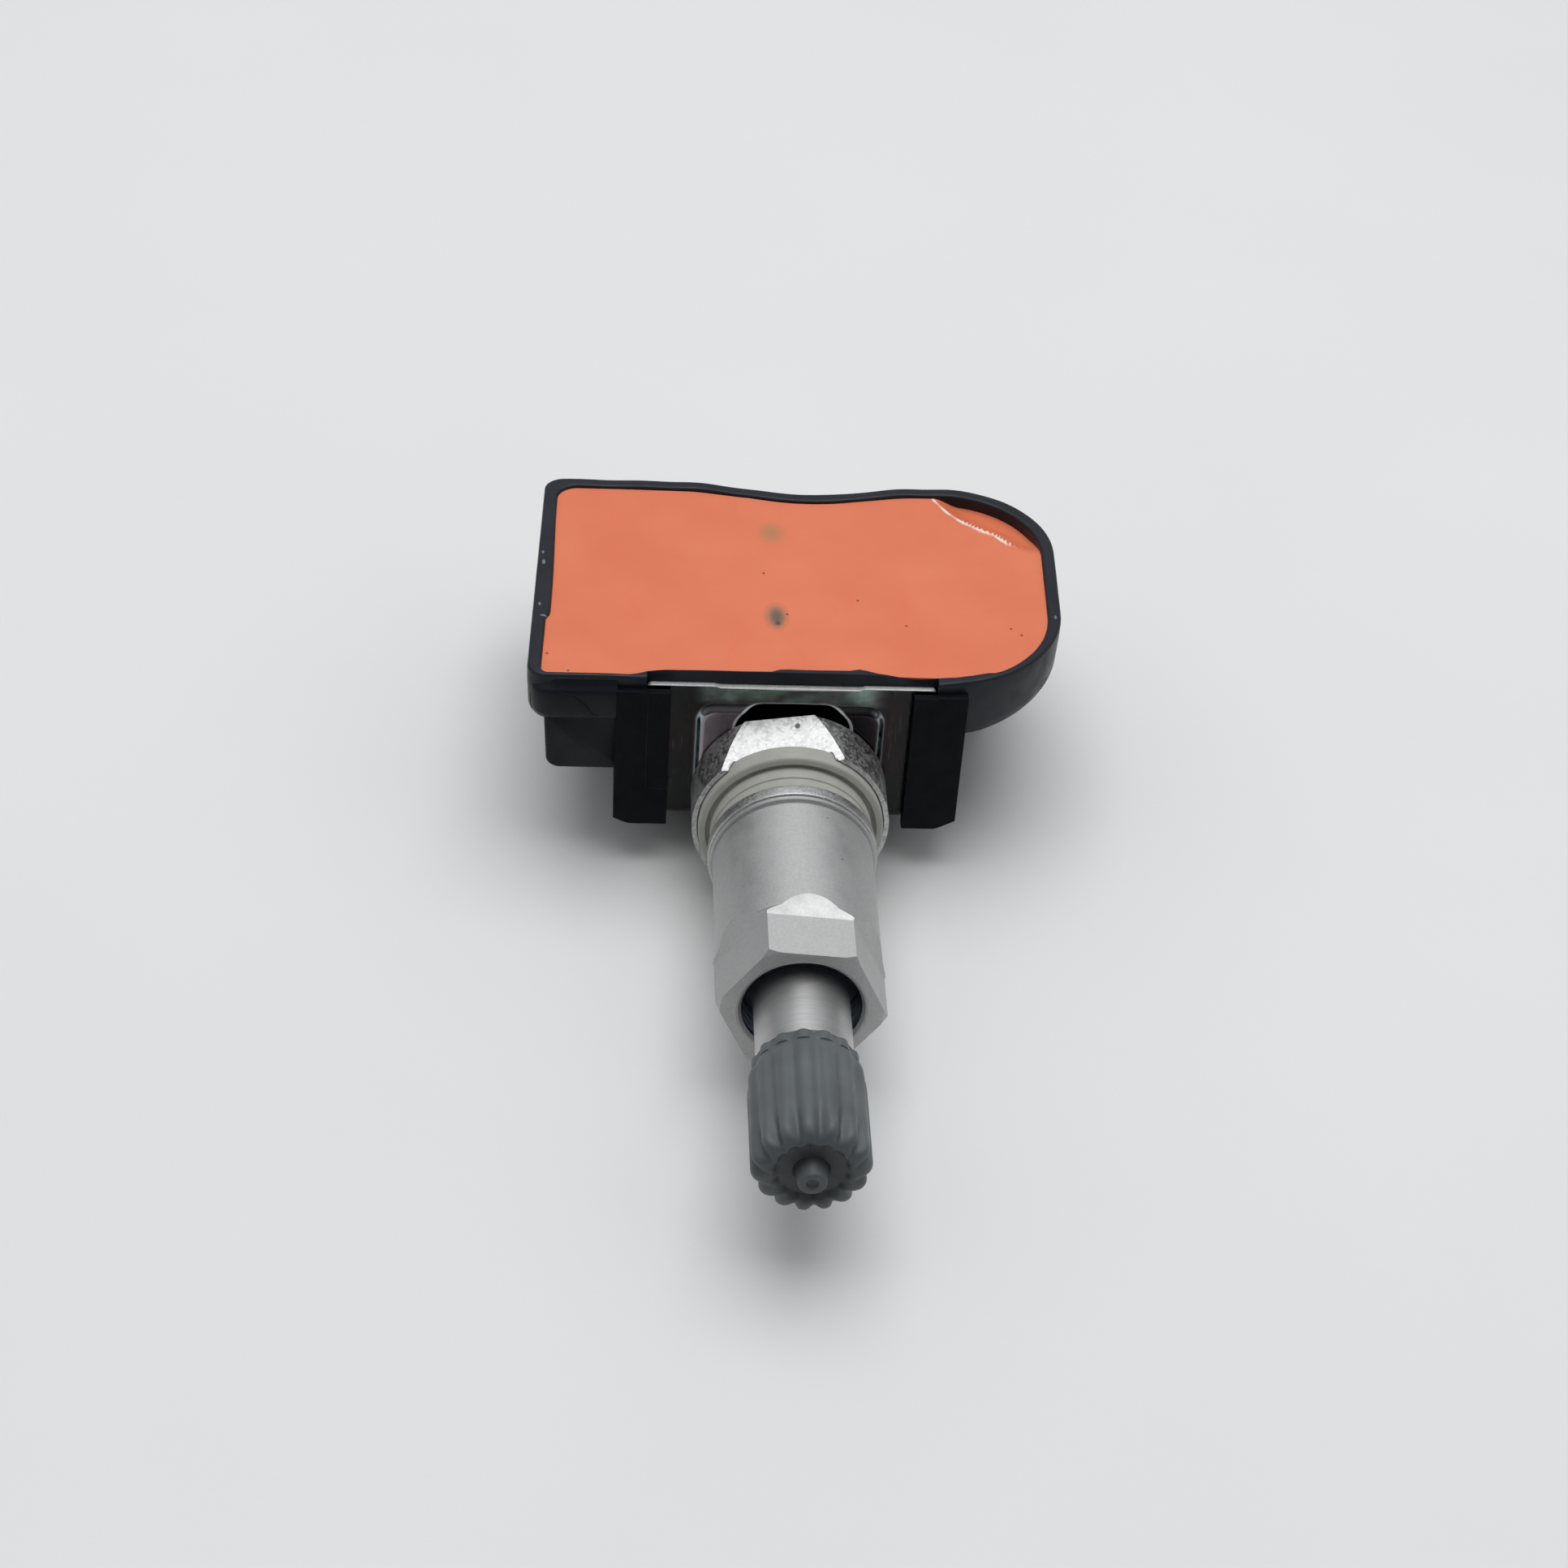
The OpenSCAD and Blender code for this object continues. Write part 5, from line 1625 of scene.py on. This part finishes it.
@dataclass
class SleeveNut:
    """The sleeve nut, its captive washer, and the milled hexagon with a run-out behind each flat."""

    across: float = 12.0
    hex_l: float = 4.5
    runout: float = 2.0
    sleeve_r: float = 6.73
    bore_r: float = 4.82
    bead: float = 0.25
    cut_back: float = 0.14
    chamfer_l: float = 0.34
    chamfer_h: float = 0.52
    pitch: float = 0.75
    thread: float = 0.32
    thread_turns: int = 5
    turn: float = 5.0
    steps: int = 360
    box: Box = field(default_factory=lambda: Box.of("sleeve_nut"))
    washer_box: Box = field(default_factory=lambda: Box.of("clamp_washer"))

    def sleeve(self) -> Thing:
        """The nut: at each angle its radius is the smaller of the turned profile and the flat.

        The flat's distance from the axis is half the width across flats over the hexagon and
        grows evenly along the run-out; divided by the cosine of the angle from its middle it is
        the limit. The profile's points move along the nut so that one always lies on the edge.
        In the bore the thread is a wave of the station in pitches plus the turn.

        Returns:
            The nut, its bore in the second material slot.
        """
        rear, front = self.box.rear, self.box.front
        hex_start = front - self.hex_l
        apothem = self.across / 2
        corner = apothem / math.cos(math.radians(30))
        first = math.radians(90 - self.turn)
        angle = first + full_turn(self.steps)
        cosine = np.cos(np.mod(angle - first + math.pi / 6, math.pi / 3) - math.pi / 6)
        growth = (self.sleeve_r - apothem) / self.runout
        flare_s = hex_start - 0.9
        profile_s = np.array([rear, flare_s, hex_start - 0.3, front - self.chamfer_l, front])
        profile_r = np.array([self.sleeve_r, self.sleeve_r, corner + 0.1, corner + 0.1, corner - 0.42])

        def outer(station: Array) -> Array:
            """The turned profile's radius."""
            return np.interp(station, profile_s, profile_r)

        def flat(station: Array) -> Array:
            """The radius that the flats leave, one row for each angle."""
            return (apothem + np.maximum(hex_start - station, 0) * growth) / cosine.reshape(
                (-1,) + (1,) * (station.ndim - 1))

        def first_above(low: float, high: float, count: int = 600) -> Array:
            """The first of many stations at which the flats cut into the profile, for each angle."""
            table = np.linspace(low, high, count)
            passed = outer(table)[None] > flat(np.broadcast_to(table, (self.steps, count)))
            return np.where(passed.any(axis=1), table[np.argmax(passed, axis=1)], high)

        edge = first_above(rear + 2, hex_start)
        beyond = apothem / cosine - (corner + 0.1 - self.chamfer_h)
        bevel = front - np.clip(beyond * self.chamfer_l / self.chamfer_h, 0, self.chamfer_l)
        base = np.minimum(edge, flare_s)
        ones = np.ones(self.steps)
        bead, groove = self.sleeve_r + self.bead, self.sleeve_r - self.cut_back
        points = [(s * ones, r * ones) for s, r in (
            (rear, self.bore_r + 0.2), (rear, bead - 0.07), (rear + 0.07, bead), (rear + 0.33, bead),
            (rear + 0.4, bead - 0.07), (rear + 0.42, groove), (rear + 0.6, groove),
            (rear + 0.7, self.sleeve_r))]
        points += [(rear + 0.7 + share * (base - rear - 0.7), self.sleeve_r * ones)
                   for share in np.linspace(0.12, 1, 10)]
        for start, end, count in ((base, edge, 3), (edge, hex_start * ones, 5), (hex_start * ones, bevel, 5),
                                  (bevel, front * ones, 2)):
            for share in np.arange(1, count + 1) / count:
                station = start + share * (end - start)
                points.append((station, np.minimum(outer(station), flat(station))))
        outside = len(points) + 2
        points += [(s * ones, r * ones) for s, r in (
            (front, self.bore_r + 0.45), (front - 0.05, self.bore_r + 0.25), (front - 0.35, self.bore_r))]
        for k in range(self.thread_turns * 6):
            wave = 0.5 - 0.5 * np.cos(2 * math.pi * k / 6 + angle)
            points.append(((front - 0.4 - self.pitch * k / 6) * ones,
                           self.bore_r + self.thread * wave * smooth_step(np.array(k / 6), 0, 1)))
        thread_end = front - 0.4 - self.pitch * self.thread_turns - 0.2
        points += [(s * ones, self.bore_r * ones) for s in (thread_end, rear + 0.2)]
        stations, radii = (np.stack(column, axis=1) for column in zip(*points))
        in_bore = (np.arange(len(points)) > outside).astype(int)
        return turned("sleeve_nut_body", radii, stations, angle, 14, in_bore)

    def washer(self) -> Thing:
        """The captive washer: a flat ring with broken edges."""
        outer, rear, front = self.washer_box.radius, self.washer_box.rear, self.washer_box.front
        return ring("clamp_washer_ring", [(4.86, rear, 0.05), (outer, rear, 0.1), (outer, front, 0.12),
                                          (outer - 0.16, front, 0.05), (4.86, front, 0.05)], 288)

    def build(self) -> None:
        """Builds and dresses the nut and the washer."""
        body = self.sleeve()
        soften(body, 0.035, 2, 24)
        # Painted shade: the bore's thread takes a dark metal, for the shade deep in the bore.
        finishes = [BlastedMetal("Bead-blasted alloy", 0.5, 0.58).material(),
                    PlainMetal("Thread with painted shade", linear(104, 112, 126), 0.4).material()]
        dress(body, finishes, "nut", "nut_metal", "sleeve_nut")
        satin = CastZinc("Speckled satin steel", 0.38, 0.54, 0.13, 0.003).material()
        dress(self.washer(), [satin], "washer", "washer_metal", "clamp_washer")


@dataclass
class Stem:
    """The valve stem with its shank, collar, clamp thread and cap thread."""

    shank_r: float = 4.5
    collar_r: float = 5.6
    clamp_r: float = 4.76
    clamp_l: float = 15.0
    valve_r: float = 3.87
    core_r: float = 2.6
    core_l: float = 7.0
    air_r: float = 1.2
    screw_r: float = 2.06
    cap_pitch: float = 0.794
    thread: float = 0.3
    thread_l: float = 6.6
    steps: int = 144
    box: Box = field(default_factory=lambda: Box.of("valve_stem"))

    def body(self) -> Thing:
        """The stem: a turned profile whose front end carries a helical thread.

        On the thread the radius drops below the crest by a depth times a wave of the station in
        pitches less the turn, which makes one start that climbs one pitch a turn.
        """
        rear, front = self.box.rear, self.box.front
        waist = Box.of("sleeve_nut").rear + self.clamp_l
        outside = [(self.shank_r, rear), (self.shank_r, -1.8), (self.collar_r, -1.79), (self.collar_r, -0.8),
                   (self.clamp_r, -0.79), (self.clamp_r, waist), (self.valve_r, waist + 1.6)]
        thread_start = front - self.thread_l
        plain = np.linspace(waist + 1.7, thread_start, 24)
        rows = np.linspace(thread_start, front - 0.45, 110)
        inside = [(self.valve_r - 0.42, front), (self.core_r + 0.1, front), (self.core_r, front - 0.1),
                  (self.core_r, front - self.core_l), (self.air_r, front - self.core_l - 0.1),
                  (self.air_r, 0.2), (self.screw_r, 0.1), (self.screw_r, rear)]
        stations = np.concatenate([[s for _, s in outside], plain, rows, [s for _, s in inside]])
        radii = np.concatenate([[r for r, _ in outside], np.full(len(plain) + len(rows), self.valve_r),
                                [r for r, _ in inside]])
        angle = full_turn(self.steps)
        shape = (self.steps, len(stations))
        station = np.broadcast_to(stations, shape)
        phase = 2 * math.pi * station / self.cap_pitch - angle[:, None]
        run_in = smooth_step(station, thread_start, thread_start + 1)
        run_out = 1 - smooth_step(station, front - 0.8, front - 0.4)
        tooth = np.clip(0.5 - 0.75 * np.cos(phase), 0, 1)
        first = len(outside) + len(plain)
        is_row = np.zeros(len(stations))
        is_row[first:first + len(rows)] = 1
        radius = np.broadcast_to(radii, shape) - self.thread * tooth * (run_in * run_out) * is_row
        return turned("valve_stem_body", radius, station, angle, 35)

    def build(self) -> None:
        """Builds and dresses the stem."""
        metal = TurnedMetal("Fine-turned alloy", grey(0.53), 0.2, 0.006, 0.38).material()
        dress(self.body(), [metal], "root", "stem_metal", "valve_stem")


@dataclass
class Cap:
    """The ribbed dust cap and the sealing disc inside it."""

    ribs: int = 15
    bore_r: float = 3.93
    crown: float = 1.2
    depth: float = 0.3
    end_depth: float = 0.66
    knob_l: float = 1.1
    band_l: float = 1.05
    recess: float = 0.45
    knob_base_r: float = 1.36
    knob_r: float = 1.0
    steps: int = 540
    box: Box = field(default_factory=lambda: Box.of("valve_cap"))
    seal_box: Box = field(default_factory=lambda: Box.of("cap_seal"))

    def shell(self) -> Thing:
        """The cap: a turned profile whose outside is drawn in between the ribs.

        The groove is a wave of the angle with one crest for each rib gap, raised to a power so
        that it stays narrow. Each profile point has its own groove depth, which grows where the
        ribs curl over the end and fades on the plain edge at the mouth.
        """
        mouth, knob, floor = self.box.rear, self.box.front, self.seal_box.front
        front = knob - self.knob_l
        outer = self.box.radius + 0.03
        neck = outer - 0.4
        seam = mouth + self.band_l
        shoulder_l = 1.5
        profile: list[Triple] = [
            (0.0, floor, 0), (self.bore_r - 0.1, floor, 0), (self.bore_r, floor - 0.1, 0),
            (self.bore_r, mouth + 0.25, 0), (self.bore_r + 0.12, mouth, 0), (neck - 0.1, mouth, 0.16),
            (neck + 0.06, mouth + 0.1, 0.36), (neck + 0.1, mouth + 0.4, 0.34),
            (neck + 0.06, seam - 0.1, 0.2), (neck - 0.1, seam - 0.02, 0.02),
            (neck - 0.1, seam + 0.06, 0.02), (neck + 0.02, seam + 0.12, 0.04)]
        for a in np.linspace(0, math.pi / 2, 8)[1:]:
            rise, run = math.sin(a), 1 - math.cos(a)
            profile.append((neck + (outer - neck) * rise, seam + 0.12 + shoulder_l * run, self.depth * rise))
        body = seam + 1.7
        for share in np.linspace(0, 1, 14):
            station = body + share * (front - self.crown - body)
            deeper = float(smooth_step(np.array(share), 0.7, 1))
            profile.append((outer, station, self.depth + (self.end_depth - self.depth) * deeper))
        for a in np.linspace(0, math.pi / 2, 10)[1:]:
            radius, station = outer - self.crown * (1 - math.cos(a)), front - self.crown * (1 - math.sin(a))
            profile.append((radius, station, self.end_depth * (0.6 + 0.4 * math.cos(a))))
        rim, low, base, tip = outer - self.crown, front - self.recess, self.knob_base_r, self.knob_r
        profile += [
            (rim - 0.2, front - 0.02, 0.32), (rim - 0.42, front - 0.12, 0.2), (rim - 0.62, front - 0.3, 0.08),
            (rim - 0.8, low, 0), (base + 0.35, low, 0), (base + 0.1, low + 0.08, 0), (base, front - 0.1, 0),
            (tip + 0.12, knob - 0.16, 0), (tip + 0.02, knob - 0.03, 0), (tip - 0.12, knob, 0), (0.6, knob, 0),
            (0.5, knob - 0.04, 0), (0.4, knob - 0.22, 0), (0.0, knob - 0.3, 0)]
        radii, stations, depths = (np.array(column) for column in zip(*profile))
        angle = full_turn(self.steps)
        groove = (0.5 - 0.5 * np.cos(self.ribs * angle)) ** 1.5
        radius = radii[None] - depths[None] * groove[:, None]
        return turned("valve_cap_shell", radius, np.broadcast_to(stations, radius.shape), angle, 40)

    def build(self) -> None:
        """Builds and dresses the cap; the sealing disc keeps its CAD form."""
        # Painted shade: the cap's front end is painted darker, for the shade it lies in under the overhead
        # light.
        end = ((0.0, float(self.box.low[1]) + 1.5, 0.0), (4.7, 1.9, 4.7))
        plastic = MouldedPlastic("Slate cap plastic", linear(80, 85, 87), linear(95, 101, 103), 0.46, 0.22,
                                 painted_shade=end).material()
        dress(self.shell(), [plastic], "cap", "cap_plastic", "valve_cap")


@dataclass
class CoreSpring:
    """The wire spring that shuts the valve core."""

    wire_r: float = 0.12
    turns: float = 5.0
    box: Box = field(default_factory=lambda: Box.of("core_spring"))

    def coil(self) -> Thing:
        """The coil: a circle of the wire's radius carried along a helix that closes at both ends.

        The station grows evenly with the turn less a sine wave, which brings the end turns
        closer together.
        """
        radius = self.box.radius - self.wire_r
        low, high = self.box.rear + self.wire_r, self.box.front - self.wire_r
        t = np.linspace(0, 1, 240)
        turn = 2 * math.pi * self.turns * t
        station = low + (high - low) * (t - 0.06 * np.sin(2 * math.pi * t))
        spin = full_turn(10)
        reach = radius + self.wire_r * np.cos(spin)[None]
        x, z = reach * np.cos(turn)[:, None], reach * np.sin(turn)[:, None]
        y = -station[:, None] - self.wire_r * np.sin(spin)[None]
        return loft("core_spring_coil", list(np.stack([x, y, z], axis=-1)), crease=60)

    def build(self) -> None:
        """Builds and dresses the spring, and gives it a mesh of its own."""
        thing = self.coil()
        wire = PlainMetal("Spring wire", grey(0.6), 0.25).material()
        dress(thing, [wire], "root", "spring_steel", "core_spring")
        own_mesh(thing)


@dataclass
class InnerPieces:
    """The pieces that keep their CAD form and only take a finish."""

    def build(self) -> None:
        """Dresses each CAD node that no new piece replaces."""
        brass, nickel = linear(196, 160, 84), linear(206, 200, 186)
        finishes = {
            "circuit_board": BoardLaminate("Green board"),
            "coin_cell": PlainMetal("Cell steel", grey(0.62), 0.24, 0.5),
            "battery_tab_minus": PlainMetal("Tab nickel", nickel, 0.28),
            "battery_tab_plus": PlainMetal("Tab nickel plus", nickel, 0.28),
            "pressure_chip": MouldedPlastic("Chip package", linear(32, 32, 35), linear(44, 44, 48), 0.5, 0.1),
            "port_seal": Rubber("Port seal rubber", linear(60, 61, 63)),
            "crystal": PlainMetal("Crystal can", linear(212, 206, 190), 0.26),
            "lf_coil_core": MouldedPlastic("Ferrite", linear(50, 49, 52), linear(66, 64, 66), 0.55, 0.1),
            "lf_coil_winding": WoundWire("Copper winding"),
            "rear_washer": CastZinc("Rear washer zinc", 0.45, 0.8, 0.16, 0.01),
            "rear_screw": TurnedMetal("Rear screw steel", grey(0.55), 0.18, 0.004, 0.3),
            "cap_seal": Rubber("Black sealing rubber", linear(44, 44, 45)),
            "core_body": TurnedMetal("Core brass", brass, 0.15, 0.004, 0.28),
            "core_gasket": Rubber("Red core gasket", linear(130, 50, 42)),
            "core_pin": TurnedMetal("Pin brass", linear(206, 172, 100), 0.12, 0.003, 0.24),
        }
        for node, finish in finishes.items():
            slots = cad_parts[node].data.materials
            made = finish.material()
            slots.clear()
            slots.append(made)
            LOG.info("%s: CAD form, %s", node, made.name)


# Light, table and camera


class Light(Enum):
    """The studio's lamps: place in millimetres, width in metres and power in watts."""

    OVERHEAD = ((20.0, 60.0, 640.0), 0.55, 2.7)
    LEFT = ((-620.0, -120.0, 420.0), 0.6, 0.35)
    RIGHT = ((620.0, -120.0, 420.0), 0.6, 0.45)


@dataclass
class Studio:
    """The table, the soft lamps and the camera at the photograph's angle."""

    focal_px: float = 3718.08
    image_px: float = 1932.0
    sensor: float = 36.0
    elevation: float = 38.78
    yaw: float = 4.81
    roll: float = 4.17
    eye: Triple = (-17.39, -196.33, 163.52)
    clip: tuple[float, float] = (0.01, 20.0)
    table_half: float = 2500.0
    table_gap: float = 0.03
    belly_round: float = 4.4
    world: float = 0.62
    zenith: Triple = (0.0, 0.34, 0.94)
    sky: tuple[tuple[float, Colour], ...] = (
        (0.0, (0.2, 0.205, 0.215, 1)), (0.3, (0.34, 0.345, 0.355, 1)), (0.6, (0.62, 0.63, 0.64, 1)),
        (0.85, (0.97, 0.985, 1.0, 1)))

    def camera(self) -> None:
        """Sets the camera by its elevation, yaw and roll, looking along +Y and down."""
        e, yaw, roll = (math.radians(a) for a in (self.elevation, self.yaw, self.roll))
        ahead = Vector((math.sin(yaw) * math.cos(e), math.cos(yaw) * math.cos(e), -math.sin(e)))
        level = Vector((math.cos(yaw), -math.sin(yaw), 0))
        up = level.cross(ahead)
        right = level * math.cos(roll) + up * math.sin(roll)
        over = up * math.cos(roll) - level * math.sin(roll)
        data = bpy.data.cameras.new("Camera")
        data.sensor_width = self.sensor
        data.lens = self.focal_px / self.image_px * self.sensor
        data.clip_start, data.clip_end = self.clip
        thing = linked("Camera", data)
        turn = Matrix((right, over, -ahead)).transposed().to_4x4()
        thing.matrix_world = Matrix.Translation(Vector(self.eye) * MM) @ turn
        bpy.context.scene.camera = thing

    def table(self) -> None:
        """The table: a plane through the flange's lower front edge and the belly's rear edge."""
        flange, housing = Box.of("seat_flange"), Box.of("housing")
        front, low = flange.low[1:]
        back = housing.high[1] - self.belly_round
        slope = (housing.low[2] - low) / (back - front)
        side = np.linspace(-self.table_half, self.table_half, 3)
        x, y = np.meshgrid(side, side, indexing="ij")
        z = low - self.table_gap + (y - front) * slope
        points = np.stack([x, y, z], axis=-1).reshape(-1, 3)
        mesh = bpy.data.meshes.new("Table")
        mesh.from_pydata((points * MM).tolist(), [], grid_quads(3, 3, False, False)[:, ::-1].tolist())
        mesh.materials.append(Tabletop("Pale table").material())
        linked("Table", mesh)

    def lamps(self) -> None:
        """Adds each soft lamp, turned to the object."""
        for lamp in Light:
            place, width, power = lamp.value
            data = bpy.data.lights.new(lamp.name.title(), "AREA")
            data.shape = "SQUARE"
            data.size = width
            data.energy = power
            thing = linked(lamp.name.title(), data)
            thing.location = Vector(place) * MM
            thing.rotation_euler = (-thing.location).to_track_quat("-Z", "Y").to_euler()

    def surroundings(self) -> None:
        """Sets the world: a sky that brightens evenly towards a point a little behind the zenith."""
        world = bpy.data.worlds.new("Pale studio")
        world.use_nodes = True
        nodes, links = world.node_tree.nodes, world.node_tree.links
        ahead = nodes.new("ShaderNodeTexCoord").outputs["Generated"]
        dot = nodes.new("ShaderNodeVectorMath")
        dot.operation = "DOT_PRODUCT"
        dot.inputs[1].default_value = self.zenith
        ramp = nodes.new("ShaderNodeValToRGB")
        set_ramp(ramp, self.sky)
        links.new(ahead, dot.inputs[0])
        links.new(dot.outputs["Value"], ramp.inputs["Fac"])
        back = nodes["Background"]
        links.new(ramp.outputs["Color"], back.inputs["Color"])
        back.inputs["Strength"].default_value = self.world
        bpy.context.scene.world = world

    def build(self) -> None:
        """Sets up the whole studio."""
        bpy.context.scene.view_settings.view_transform = "Standard"
        self.camera()
        self.table()
        self.lamps()
        self.surroundings()


def main() -> None:
    """Builds the object in order."""
    logging.basicConfig(level=logging.INFO, format="%(message)s")
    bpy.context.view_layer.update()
    Studio().build()
    assemblies = (Housing(), Bracket(), SeatFlange(), SleeveNut(), Stem(), Cap(), CoreSpring(), InnerPieces())
    for assembly in assemblies:
        assembly.build()
        LOG.info("built %s", type(assembly).__name__)


if __name__ == "__main__":
    main()
